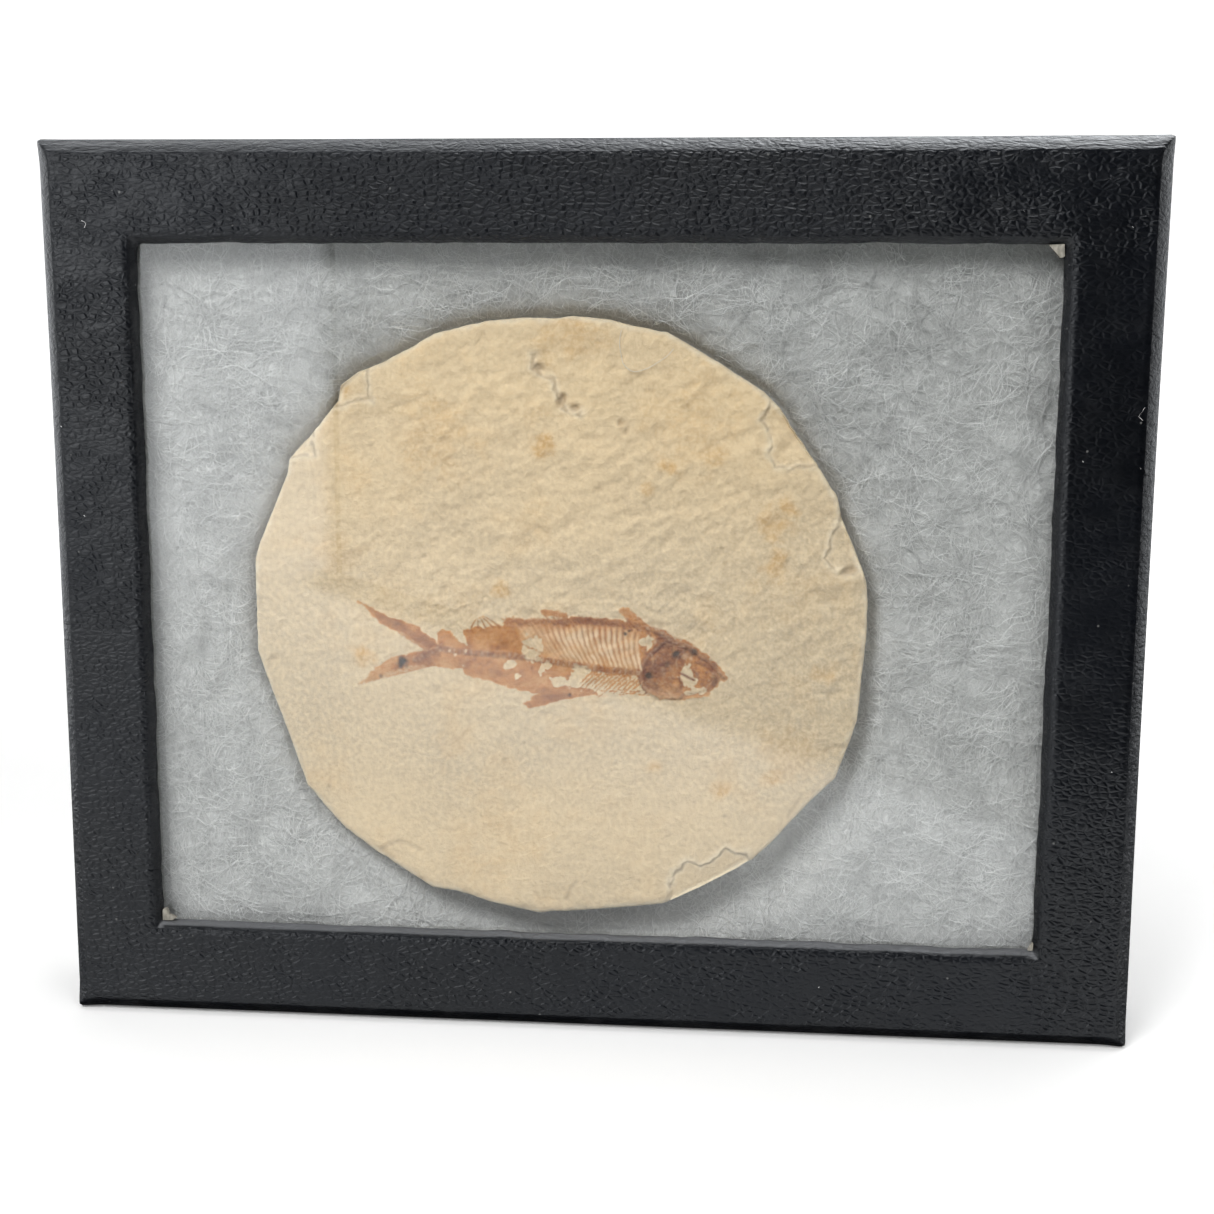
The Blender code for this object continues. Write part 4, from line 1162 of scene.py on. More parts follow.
def tube_mesh(name, rings, kept):
    """Three-sided tubes through rings of shape (tubes, rings, 3 sides, xyz); kept marks whole stretches."""
    tubes, steps = rings.shape[:2]
    index = np.arange(tubes * steps * 3).reshape(tubes, steps, 3)
    span = kept[:, :-1] & kept[:, 1:]
    quads = []
    for side, after in ((0, 1), (1, 2), (2, 0)):
        corners = (index[:, :-1, side], index[:, :-1, after], index[:, 1:, after], index[:, 1:, side])
        quads.append(np.stack(corners, axis=-1)[span])
    quads = np.concatenate(quads)
    before = np.pad(span, ((0, 0), (1, 0)))
    behind = np.pad(span, ((0, 0), (0, 1)))
    starts = index[behind & ~before][:, ::-1]
    ends = index[before & ~behind]
    caps = np.concatenate([starts, ends])
    used = np.unique(np.concatenate([quads.ravel(), caps.ravel()]))
    renumber = np.zeros(index.size, dtype=np.int64)
    renumber[used] = np.arange(len(used))
    corners = np.concatenate([renumber[quads].ravel(), renumber[caps].ravel()])
    sizes = np.concatenate([np.full(len(quads), 4), np.full(len(caps), 3)])
    mesh = bpy.data.meshes.new(name)
    mesh.vertices.add(len(used))
    mesh.vertices.foreach_set("co", rings.reshape(-1, 3)[used].ravel())
    mesh.loops.add(len(corners))
    mesh.loops.foreach_set("vertex_index", corners)
    mesh.polygons.add(len(sizes))
    mesh.polygons.foreach_set("loop_start", np.concatenate([[0], np.cumsum(sizes)[:-1]]))
    mesh.update(calc_edges=True)
    mesh.validate()
    obj = bpy.data.objects.new(name, mesh)
    bpy.context.scene.collection.objects.link(obj)
    return obj


def tube_rings(paths, radius):
    """Rings of three points round paths of shape (tubes, steps, xyz), in the paths' own unit."""
    along = np.gradient(paths, axis=1)
    along /= np.linalg.norm(along, axis=2, keepdims=True)
    side = np.cross(along, (0.0, 1.0, 0.0))
    side /= np.maximum(np.linalg.norm(side, axis=2, keepdims=True), 1e-9)
    up = np.cross(side, along)
    rings = []
    for turn in (0.0, 2.0 * math.pi / 3.0, 4.0 * math.pi / 3.0):
        rings.append(paths + radius * (math.cos(turn) * side + math.sin(turn) * up))
    return np.stack(rings, axis=2)


def lay_strands(name, paths, radius, material, kept=None):
    """Make strands along paths in millimetres from the middle of the window; kept marks what stays."""
    rings = tube_rings(paths, radius) * MM
    rings[..., 2] += MIDDLE
    if kept is None:
        kept = np.ones(paths.shape[:2], dtype=bool)
    finish_piece(tube_mesh(name, rings, kept), material)


def resampled(path, count):
    """X and Z of evenly spaced places along a path."""
    places = np.array(path)
    steps = np.linspace(0, len(path) - 1, count)
    return np.array([np.interp(steps, range(len(path)), places[:, axis]) for axis in (0, 1)])


def fibre_material(settings):
    """Fine polyester fibre: pale, a little glossy, some fibres greyer."""
    material, tree, shader = new_material("polyester fibre")
    greyer = ranged(tree, noise_of(tree, object_place(tree), 260.0, 3.0, 0.6), 0.3, 0.7)
    dress(tree, shader, blend_colours(tree, greyer, scaled(settings.fibre, 0.72), settings.fibre), 0.6)
    return material


def fibre_paths(count, seed):
    """Curly paths over the pad, in millimetres from the middle of the window, and what stays of them."""
    dice = np.random.default_rng(seed)
    half_x, half_z = WINDOW_WIDTH_MM / 2, WINDOW_HEIGHT_MM / 2
    x = dice.uniform(-half_x - 1.5, half_x + 1.5, count)
    z = dice.uniform(-half_z - 1.5, half_z + 1.5, count)
    heading = dice.uniform(0.0, 2.0 * math.pi, count)
    bend = dice.normal(0.0, 0.12, count)
    crimp = dice.uniform(0.15, 0.6, count)
    phase = dice.uniform(0.0, 2.0 * math.pi, count)[:, None]
    pace = dice.uniform(0.5, 1.4, count)[:, None]
    turns = np.cumsum(dice.normal(0.0, 0.16, (count, FIBRE_POINTS)) + bend[:, None], axis=1)
    number = np.arange(FIBRE_POINTS)
    angle = heading[:, None] + turns + crimp[:, None] * np.sin(phase + pace * number)
    px = x[:, None] + np.cumsum(np.cos(angle), axis=1) * FIBRE_STEP_MM
    pz = z[:, None] + np.cumsum(np.sin(angle), axis=1) * FIBRE_STEP_MM
    clear = -edge_distance(px, pz, SLAB_OUTLINE)
    height = dice.uniform(0.0, FIBRE_LIFT_MM, count)[:, None]
    height = height + 0.15 * np.sin(phase * 3 + 0.5 * pace * number)
    depth = np.clip(batting_front(px, pz, clear) - np.maximum(height, 0.02), FIBRE_FRONT_MM, None)
    inside_case = (np.abs(px) < BATTING_HIGH.x / MM - 0.5) & (np.abs(pz) < half_z + 8.0)
    length = dice.integers(FIBRE_POINTS // 3, FIBRE_POINTS, count)
    kept = (clear > 0.12) & inside_case & (number[None, :] < length[:, None])
    return np.stack([px, depth, pz], axis=2), kept


class FOSSIL_OT_fibres(bpy.types.Operator):
    """Lay loose curly fibres over the batting"""

    bl_idname = "fossil.fibres"
    bl_label = "Fibres"

    def execute(self, context):
        settings = context.scene.fossil_batting
        material = fibre_material(settings)
        for layer in range(settings.layers):
            paths, kept = fibre_paths(settings.fibres, FIBRE_SEED + layer)
            radius = settings.fibre_radius / MM * (1.0 - 0.15 * layer)
            lay_strands("fibres_%d" % (layer + 1), paths, radius, material, kept)
        return {"FINISHED"}


def stone_height(x, z):
    """Relief of the bare stone face in millimetres, without the flakes and pits."""
    u, v = turned(x, z, 32.0)
    relief = 0.12 * rough(u / 1.5, v, 1.45, 11, 3) + 0.06 * rough(u / 1.5, v, 5.0, 15, 2)
    relief += 0.055 * lumps(u / 1.25, v, 0.65, 19)
    calmer = mix(0.6, 1.0, smooth_step(-32.0, -14.0, x))
    return relief * calmer * mix(0.5, 1.5, smooth_step(-24.0, 4.0, z))


def flakes_and_pits(x, z):
    """Depth lost to flakes and pits in millimetres, the mask of fresh breaks, and a mask of painted shade
    along the flakes' steps, in pits and in cracks, together with the real dark dots.
    """
    loss, fresh, crevice_shade_and_dots = np.zeros_like(x), np.zeros_like(x), np.zeros_like(x)
    wobble = 0.28 * rough(x, z, 1.4, 61, 3)
    for step_edge, far_side, far_depth in FLAKES.values():
        inside = edge_distance(x, z, [*step_edge, *far_side]) + wobble
        from_step = -stroke(x, z, step_edge, [0.0] * len(step_edge))[0]
        depth = mix(FLAKE_STEP_MM, far_depth, np.clip(from_step / 4.5, 0.0, 1.0))
        cut = smooth_step(-0.05, 0.32, inside) * depth
        if far_depth == 0.0:
            cut = cut * smooth_step(5.0, 1.5, from_step)
        loss = np.maximum(loss, cut)
        near = smooth_step(0.9, 0.1, np.abs(inside)) * smooth_step(1.6, 0.4, from_step)
        fresh = np.maximum(fresh, near * 0.7)
        broken = 0.55 + 0.75 * rough(x, z, 1.1, 63, 2)
        # Painted shade: a dark line along the flake's step
        line = smooth_step(0.3, 0.04, np.abs(inside - 0.04)) * smooth_step(0.9, 0.4, from_step)
        crevice_shade_and_dots = np.maximum(crevice_shade_and_dots, line * np.clip(broken, 0.0, 0.42))
    for px, pz, half, depth, longer, turn in PITS:
        u, v = turned(x - px, z - pz, turn)
        reach = np.hypot(u / (half * longer), v / half) + 0.3 * wobble
        hole = smooth_step(1.25, 0.3, reach)
        loss = np.maximum(loss, hole * depth)
        # Painted shade in the pit
        crevice_shade_and_dots = np.maximum(crevice_shade_and_dots, hole * 0.5)
    for path in CRACKS:
        line = stroke(x + 0.4 * wobble, z + 0.4 * wobble, path, [0.3] * len(path))[0]
        line = smooth_step(-0.1, 0.3, line)
        loss = np.maximum(loss, line * 0.15)
        # Painted shade in the crack
        crevice_shade_and_dots = np.maximum(crevice_shade_and_dots, line * 0.3)
    for px, pz, radius in DARK_DOTS:
        dot = smooth_step(radius * 1.4, radius * 0.3, np.hypot(x - px, z - pz))
        crevice_shade_and_dots = np.maximum(crevice_shade_and_dots, dot * 0.55)
    return loss, fresh, crevice_shade_and_dots


def stone_stains(x, z):
    """Strength of the rusty stains."""
    strength = np.zeros_like(x)
    wobble = 0.5 * rough(x, z, 1.6, 65, 3)
    for px, pz, radius, amount in STAINS:
        reach = np.hypot(x - px, z - pz) / radius + wobble
        strength = np.maximum(strength, amount * smooth_step(1.3, 0.2, reach))
    return strength


def rib_lines():
    """The ribs' curved lines, from the belly edge down to the backbone."""
    lines = []
    for k in range(RIB_COUNT):
        share = k / (RIB_COUNT - 1)
        top_x, foot_x = mix(*RIB_TOP_RANGE, share), mix(*RIB_FOOT_RANGE, share)
        top_z = -3.7 - 0.9 * max(0.0, (share - 0.75) / 0.25) ** 1.3
        foot_z = -8.0 - 1.5 * share
        points = []
        for part in np.linspace(0.0, 1.0, 7):
            bow = 0.3 * math.sin(math.pi * part)
            points.append((mix(top_x, foot_x, part) - bow, mix(top_z, foot_z, part)))
        lines.append(points)
    return lines


def film_masks(x, z):
    """Cover, tone and relief of the fossil film."""
    wobble = 0.2 * rough(x, z, 0.9, 71, 4) + 0.09 * rough(x, z, 0.3, 73, 2)
    cover = np.full(x.shape, -1.0)
    tone = np.zeros_like(x)
    for name, (outline, depth_of_tone) in FILM.items():
        inside = edge_distance(x, z, outline) + wobble
        cover = np.maximum(cover, inside)
        soft = 0.15 if name in CRISP_FILM else 0.5
        tone = mix(tone, depth_of_tone, smooth_step(-soft, soft, inside))
    for outline in BARE.values():
        inside = edge_distance(x, z, outline) + 2.0 * wobble
        cover = np.minimum(cover, -inside)
    orange = np.hypot((x + 30.4) / 1.9, (z + 8.7) / 1.6) + 2.0 * wobble
    tone = mix(tone, 0.3, smooth_step(1.2, 0.4, orange) * (cover < 0))
    tips = np.where(z > -7.0, smooth_step(-31.2, -27.0, x), smooth_step(-29.8, -24.6, x))
    tone = tone * mix(0.42, 1.0, tips)
    tone = tone + (tone > 0.05) * (0.15 * rough(x, z, 1.6, 75, 4) + 0.08 * rough(x, z, 0.35, 79, 2))
    return cover, tone


def fish_marks(x, z):
    """The fish: film cover, tone, bone with painted shade beside the ribs and spines, char, pale flecks with
    painted highlights on the ribs, and relief in millimetres.
    """
    cover, tone = film_masks(x, z)
    covered = smooth_step(-0.08, 0.12, cover)
    relief = 0.05 * covered
    bone, pale, char = np.zeros_like(x), np.zeros_like(x), np.zeros_like(x)
    mottle = rough(x, z, 0.9, 81, 3)
    fine = rough(x, z, 0.4, 85, 2)
    drift_x = 0.1 * rough(x, z, 1.1, 83, 2)
    for number, line in enumerate(rib_lines()):
        bar, along = stroke(x - 0.2 + drift_x, z, line, [radius * 1.25 for radius in RIB_RADII])
        # Painted highlight, partly pale bone: a pale stroke along each raised rib
        lit = smooth_step(-0.14, 0.14, bar + 0.06 * mottle) * smooth_step(-0.05, 0.3, along)
        weak = 0.3 + 0.7 * smooth_step(0.1, 0.4, number / RIB_COUNT)
        pale = np.maximum(pale, lit * (0.78 + 0.25 * mottle) * weak)
        relief = np.maximum(relief, 0.04 + 0.13 * smooth_step(-0.1, 0.2, bar) * weak)
        # Painted shade: a dark stroke just left of each rib, in the low gap beside it
        gap, _ = stroke(x + 0.2 + drift_x, z, line, RIB_RADII)
        shade = smooth_step(-0.14, 0.1, gap) * (0.4 + 0.25 * mottle)
        bone = np.maximum(bone, shade * weak * (1 - 0.7 * lit) * mix(1.0, 0.55, along))
    thick = np.interp(np.linspace(0, 1, len(BACKBONE)), (0.0, 0.3, 1.0), (0.34, 0.36, 0.42))
    column, along = stroke(x, z, BACKBONE, list(thick))
    joints = 0.5 + 0.5 * np.cos(2 * math.pi * VERTEBRAE * along)
    kept = smooth_step(-0.35, 0.1, cover + 0.25)
    body = smooth_step(-0.2, 0.14, column) * kept
    bone = np.maximum(bone, body * (0.42 + 0.25 * joints + 0.2 * mottle))
    pale = np.where(body > 0.4, np.maximum(pale * 0.3, 0.3 * joints * (fine > 0.1)), pale)
    relief = np.maximum(relief, body * (0.1 + 0.06 * joints))
    scutes, along = stroke(x, z - 0.05, SCUTE_EDGE, SCUTE_RADII)
    ticks = 0.5 + 0.5 * np.cos(2 * math.pi * 24 * along + 2.2 * (z + 3.0))
    band = smooth_step(-0.3, 0.2, scutes + 0.25 * mottle) * smooth_step(-0.1, 0.1, cover)
    dark = mix(0.3, 0.6, smooth_step(0.3, 0.55, along) * smooth_step(1.0, 0.75, along))
    bone = np.maximum(bone, band * (dark + 0.12 * ticks + 0.2 * mottle))
    relief = np.maximum(relief, band * (0.09 + 0.07 * ticks))
    dice = np.random.default_rng(187)
    for k in range(SCUTES):
        share = k / (SCUTES - 1)
        ax = mix(-11.4, 7.2, share)
        az = np.interp(ax, *zip(*SCUTE_EDGE)) + dice.uniform(0.1, 0.5)
        reach = dice.uniform(0.5, 1.1)
        line = [(ax - 0.35, az), (ax + 0.5 * reach, az - reach)]
        tick, _ = stroke(x, z, line, [0.04, dice.uniform(0.12, 0.2)])
        cover = np.maximum(cover, tick + 0.02)
        mark = smooth_step(-0.1, 0.08, tick)
        tone = np.maximum(tone, 0.6 * mark)
        darker = mix(0.6, 1.0, smooth_step(0.25, 0.5, share))
        bone = np.maximum(bone, mark * dice.uniform(0.4, 0.85) * darker)
        relief = np.maximum(relief, 0.16 * mark)
    for k in range(SPINES):
        share = k / (SPINES - 1)
        ax, az = mix(0.2, 6.8, share), mix(-9.9, -10.9, share)
        reach = dice.uniform(0.6, 1.1)
        line = [(ax, az), (ax - 1.3 * reach, az - 1.1 * reach),
                (ax - 2.4 * reach, max(az - 2.2 * reach, -12.9))]
        bar, _ = stroke(x, z, line, [0.1, 0.14, 0.06])
        cover = np.maximum(cover, bar)
        mark = smooth_step(-0.1, 0.1, bar)
        tone = np.where(mark > 0.3, mix(tone, 0.42, mark), tone)
        relief = np.maximum(relief, 0.1 * mark)
        # Painted shadow: a dark copy of the spine, moved down and to the left, with film shown under it
        shade = smooth_step(-0.1, 0.1, stroke(x + 0.14, z + 0.18, line, [0.07, 0.08, 0.05])[0])
        bone = np.maximum(bone, shade * dice.uniform(0.15, 0.45) * (1 - mark))
        cover = np.maximum(cover, np.where(shade > 0.5, 0.05, -1.0))
    for _ in range(BACK_STREAKS):
        ax, az = dice.uniform(0.6, 6.8), dice.uniform(-12.9, -12.2)
        line = [(ax, az), (ax + dice.uniform(0.5, 1.3), az + dice.uniform(-0.1, 0.3))]
        streak, _ = stroke(x, z, line, [0.08, 0.04])
        cover = np.maximum(cover, streak)
        tone = np.maximum(tone, 0.6 * smooth_step(-0.08, 0.06, streak))
    zigzag, _ = stroke(x, z - 0.22 * np.abs((x * 1.6) % 2 - 1), [(-9.2, -6.6), (-6.4, -7.6)], [0.09, 0.09])
    cover = np.maximum(cover, zigzag)
    bone = np.maximum(bone, 0.3 * smooth_step(-0.08, 0.06, zigzag))
    return cover, tone, bone, char, pale, relief, covered, fine


def skull_marks(x, z, bone, pale, char, relief, cover, fine):
    """Add the plates, ridges and spots of the skull."""
    solid = smooth_step(-0.05, 0.15, cover)
    head = smooth_step(6.0, 7.0, x)
    for px, pz, half_x, half_z, height, turn in SKULL_PLATES:
        u, v = turned(x - px, z - pz, turn)
        dome = np.clip(1.0 - (u / half_x) ** 2 - (v / half_z) ** 2, 0.0, 1.0) ** 0.6
        relief = np.maximum(relief, height * dome * solid)
    for path, radii, height, dark in SKULL_RIDGES:
        ridge, _ = stroke(x, z, path, radii)
        body = smooth_step(-0.12, 0.18, ridge)
        relief = np.maximum(relief, height * body)
        bone = np.maximum(bone, smooth_step(-0.16, 0.1, ridge) * dark)
        crest = smooth_step(0.1, 0.35, ridge)
        pale = np.maximum(pale, crest * 0.12 * (dark < 0.6))
    dice = np.random.default_rng(191)
    for _ in range(SKULL_STROKES):
        px, pz = dice.uniform(6.6, 17.2), dice.uniform(-13.4, -4.0)
        angle, half = dice.normal(-0.7, 0.6), dice.uniform(0.2, 0.9)
        bend = dice.uniform(-0.25, 0.25)
        dx, dz = half * math.cos(angle), half * math.sin(angle)
        path = [(px - dx, pz - dz), (px - bend * dz, pz + bend * dx), (px + dx, pz + dz)]
        wide = dice.uniform(0.06, 0.17)
        mark = smooth_step(-0.09, 0.09, stroke(x, z, path, [wide * 0.4, wide, wide * 0.4])[0]) * solid
        if dice.uniform() < 0.6:
            bone = np.maximum(bone, mark * dice.uniform(0.3, 0.85))
            relief = relief - 0.06 * mark
        else:
            pale = np.maximum(pale, mark * dice.uniform(0.05, 0.3))
            relief = relief + 0.07 * mark
    lighter = np.maximum(smooth_step(-10.8, -12.6, z), smooth_step(15.6, 17.2, x)) * head
    bone = (bone + head * solid * (0.3 * fine + 0.25 * rough(x, z, 1.1, 89, 3))) * (1 - 0.45 * lighter)
    pale = pale + head * solid * (0.25 * np.clip(fine - 0.3, 0.0, 1.0) + 0.2 * lighter)
    relief = relief + head * solid * 0.05 * fine
    for px, pz, radius, amount in CHAR_SPOTS:
        reach = np.hypot(x - px, z - pz) / radius + 0.35 * fine
        char = np.maximum(char, amount * smooth_step(1.25, 0.35, reach))
    for px, pz, radius, amount in PALE_FLECKS:
        reach = np.hypot(x - px, z - pz) / radius + 0.45 * fine
        pale = np.maximum(pale, amount * smooth_step(1.25, 0.35, reach))
    return bone, pale, char, relief


def fin_rays(x, z, bone, tone, cover):
    """Fine streaks along the fins and the two lobes of the tail."""
    for root_a, tip_a, root_b, tip_b, count, amount in FIN_FANS:
        for k in range(count):
            share = k / (count - 1)
            root = (mix(root_a[0], root_b[0], share), mix(root_a[1], root_b[1], share))
            tip = (mix(tip_a[0], tip_b[0], share), mix(tip_a[1], tip_b[1], share))
            ray, along = stroke(x, z, [root, tip], [0.12, 0.06])
            mark = smooth_step(-0.1, 0.08, ray)
            cover = np.maximum(cover, ray)
            tone = np.maximum(tone, 0.55 * mark)
            bone = np.maximum(bone, mark * amount * (1 - 0.7 * along))
    return bone, tone, cover


def on_fish(x, z):
    """Whether places lie in the box round the fish."""
    low_x, high_x, low_z, high_z = FISH_BOX
    return (x > low_x) & (x < high_x) & (z > low_z) & (z < high_z)


def shape_slab(mesh, rim):
    """Give the slab its relief and store its masks; rim marks the points behind the face."""
    x, y, z = window_places(mesh)
    inside = edge_distance(x, z, SLAB_OUTLINE)
    loss, fresh, crevice_shade_and_dots = flakes_and_pits(x, z)
    stone = stone_height(x, z)
    worn = 0.25 * smooth_step(1.6, 0.0, inside) ** 2 * (1 + 0.6 * rough(x, z, 2.2, 67, 2))
    near = ~rim & on_fish(x, z)
    fx, fz = x[near], z[near]
    cover, tone, bone, char, pale, relief, covered, fine = fish_marks(fx, fz)
    bone, pale, char, relief = skull_marks(fx, fz, bone, pale, char, relief, cover, fine)
    bone, tone, cover = fin_rays(fx, fz, bone, tone, cover)
    height = stone - loss - worn
    height[near] = height[near] * (1 - 0.35 * covered) + relief
    set_window_places(mesh, x, np.where(rim, y, SLAB_FACE_MM - height), z)
    edge_line = smooth_step(0.75, 0.2, inside + 0.25 * rough(x, z, 1.2, 69, 2))
    fresh = np.where(rim, 1.0, np.maximum(fresh, edge_line * 0.9))
    masks = []
    for values in (0.5 + cover / 1.2, tone, bone, char, pale):
        mask = np.zeros(len(x))
        mask[near] = np.clip(values, 0.0, 1.0)
        masks.append(mask)
    write_colours(mesh, "fossil", *masks[:3], np.ones(len(x)))
    write_colours(mesh, "spots", *masks[3:], crevice_shade_and_dots, np.ones(len(x)))
    # Partly the stone's own tone and partly painted light: paler and warmer towards the top, where more light
    # falls, greyer through the middle and on the lower right, paler again along the bottom edge
    warmth_and_painted_top_light = mix(0.1, 0.95, smooth_step(-14.0, 32.0, z)) + 0.75 * smooth_step(-20.0, -34.0, z)
    warmth_and_painted_top_light = warmth_and_painted_top_light - 0.35 * smooth_step(16.0, 30.0, x) * smooth_step(22.0, 8.0, z)
    write_colours(mesh, "stone", stone_stains(x, z), fresh, np.clip(0.5 + stone * 3.0, 0, 1), warmth_and_painted_top_light)


def slab_material(settings):
    """Limestone with rusty stains, and the brown fossil pressed into it."""
    material, tree, shader = new_material("fossil limestone")
    place = object_place(tree)
    layers = {}
    for name in ("fossil", "spots", "stone"):
        node = add_node(tree, "ShaderNodeVertexColor", layer_name=name)
        layers[name] = split(tree, node.outputs["Color"])
    warmth_and_painted_top_light = node.outputs["Alpha"]
    cover, tone, bone = layers["fossil"]
    char, pale, crevice_shade_and_dots = layers["spots"]
    stain, fresh, height = layers["stone"]
    clouds = ranged(tree, noise_of(tree, place, 70.0, 3.0, 0.55), 0.35, 0.68)
    # Paler stone where this mask is high, partly the stone's tone and partly painted light from above
    clouds = sums(tree, "MULTIPLY_ADD", warmth_and_painted_top_light, 0.75, sums(tree, "MULTIPLY", clouds, 0.35))
    ochre = ranged(tree, noise_of(tree, place, 120.0, 4.0, 0.6), 0.48, 0.74, 0.0, 0.5)
    specks = noise_of(tree, place, 1500.0, 4.0, 0.65)
    base = blend_colours(tree, clouds, settings.grey, settings.stone)
    base = blend_colours(tree, ochre, base, (0.70, 0.46, 0.21))
    base = blend_colours(tree, stain, base, settings.stain)
    base = blend_colours(tree, fresh, base, (0.84, 0.74, 0.57))
    # Painted shade: the low places of the stone's relief are painted darker
    painted_hollow_shade = ranged(tree, height, 0.2, 0.62, 0.25, 0.0)
    base = blend_colours(tree, painted_hollow_shade, base, (0.57, 0.44, 0.28))
    slanted = stretched(tree, place, (0.6, 1.0, 1.0), (0.0, 0.55, 0.0))
    grit = noise_of(tree, slanted, 900.0, 4.0, 0.75, 0.3)
    base = blend_colours(tree, ranged(tree, grit, 0.35, 0.65, 0.34, 0.0), base, (0.55, 0.415, 0.255))
    base = blend_colours(tree, ranged(tree, specks, 0.35, 0.68, 0.0, 0.5), base, (0.86, 0.70, 0.47))
    ragged = noise_of(tree, place, 2600.0, 3.0, 0.7)
    offset = sums(tree, "MULTIPLY_ADD", ragged, 0.5, -0.25)
    shown = ranged(tree, sums(tree, "ADD", cover, offset), 0.44, 0.56)
    streaks = noise_of(tree, stretched(tree, place, (0.5, 1.0, 1.0), (0.0, 0.3, 0.0)), 1900.0, 3.0, 0.7)
    ramp = add_node(tree, "ShaderNodeValToRGB", {"Fac": tone})
    stops = ramp.color_ramp.elements
    stops[0].color = (*settings.stone, 1.0)
    stops[1].color = (0.17, 0.037, 0.007, 1.0)
    stops.new(0.62).color = (*settings.film, 1.0)
    stops.new(0.36).color = (0.60, 0.325, 0.14, 1.0)
    paler = ranged(tree, streaks, 0.3, 0.75, 0.0, 0.35)
    film = blend_colours(tree, paler, ramp.outputs["Color"], (0.62, 0.36, 0.16))
    base = blend_colours(tree, shown, base, film)
    # Dark bone, together with the painted shade beside the ribs and the spines' painted shadows
    spotted = sums(tree, "MULTIPLY", bone, ranged(tree, ragged, 0.25, 0.6, 0.75, 1.0))
    base = blend_colours(tree, spotted, base, settings.bone)
    # Pale bone and flecks, together with the painted highlights on the ribs
    base = blend_colours(tree, pale, base, (0.80, 0.60, 0.39))
    base = blend_colours(tree, char, base, (0.02, 0.010, 0.006))
    # Painted shade in the flakes' steps, pits and cracks, together with the stone's real dark dots
    base = blend_colours(tree, crevice_shade_and_dots, base, (0.24, 0.15, 0.075))
    normal = bump_of(tree, ragged, 0.03 * MM, bump_of(tree, specks, 0.17 * MM))
    dress(tree, shader, base, sums(tree, "MULTIPLY_ADD", specks, 0.15, 0.72), normal, 0.3)
    return material


class FOSSIL_OT_slab(bpy.types.Operator):
    """Build the chipped limestone slab with the fossil fish"""

    bl_idname = "fossil.slab"
    bl_label = "Slab"

    def execute(self, context):
        settings = context.scene.fossil_slab
        outline = np.array(SLAB_OUTLINE)
        low, high = (
            Vector((x, 0.0, z)) * MM + Vector((0.0, 0.0, MIDDLE))
            for x, z in (outline.min(axis=0), outline.max(axis=0)))
        columns = round((high.x - low.x) / settings.spacing)
        rows = round((high.z - low.z) / settings.spacing)
        slab = window_plane("slab_with_fish", low, high, SLAB_FACE_MM * MM, columns, rows)
        face_outline = [(mix(SLAB_CENTRE[0], x, FACE_SHARE), mix(SLAB_CENTRE[1], z, FACE_SHARE))
                        for x, z in SLAB_OUTLINE]
        trim_to_outline(slab, face_outline)
        x, z = face_places(bmesh.from_edit_mesh(slab.data))
        finer = on_fish(x, z)
        for step_edge, _, _ in FLAKES.values():
            finer |= stroke(x, z, step_edge, [0.75] * len(step_edge))[0] > 0.0
        select_parts(slab, "FACE", lambda face: finer[face.index])
        bpy.ops.mesh.subdivide(number_cuts=1)
        close_rim(slab)
        close_piece()
        rim = points_of(slab.data)[:, 1] / MM > SLAB_FACE_MM + 0.01
        shape_slab(slab.data, rim)
        finish_piece(slab, slab_material(settings), ["slab"], 75)
        return {"FINISHED"}


def trim_to_outline(obj, outline):
    """Delete the faces outside an outline and pull the new edge onto it."""
    bm = edit_mesh(obj)
    outside = edge_distance(*face_places(bm), outline) < 0.0
    select_parts(obj, "FACE", lambda face: outside[face.index])
    bpy.ops.mesh.delete(type="FACE")
    border = [vertex for vertex in bmesh.from_edit_mesh(obj.data).verts if vertex.is_boundary]
    set_vertex_places(border, *nearest_on_outline(*vertex_places(border), outline))
    bmesh.update_edit_mesh(obj.data)


def close_rim(obj):
    """Extrude the face's edge back in chipped rings and close the back."""
    select_border(obj)
    centre = (SLAB_CENTRE[0] * MM, 0.0, SLAB_CENTRE[1] * MM + MIDDLE)
    before, depth = FACE_SHARE, 0.0
    for number, (share, behind, roughness) in enumerate(RIM_RINGS):
        push_ring((behind - depth) * MM, share / before, share / before, centre)
        chip_ring(obj, roughness, number)
        before, depth = share, behind
    for share in BACK_SHARES:
        push_ring(0.0, share / before, share / before, centre)
        before = share
    bpy.ops.mesh.merge(type="CENTER")


def chip_ring(obj, roughness, number):
    """Knock the selected ring in by uneven amounts."""
    chosen = [vertex for vertex in bmesh.from_edit_mesh(obj.data).verts if vertex.select]
    x, z = vertex_places(chosen)
    x, z = x - SLAB_CENTRE[0], z - SLAB_CENTRE[1]
    turn = np.arctan2(z, x) * 40.0
    chips = np.maximum(0.0, rough(turn, turn * 0.0 + number * 2.3, 2.4, 91 + number)) * roughness
    scale = 1.0 - chips / np.hypot(x, z)
    set_vertex_places(chosen, x * scale + SLAB_CENTRE[0], z * scale + SLAB_CENTRE[1])
    bmesh.update_edit_mesh(obj.data)


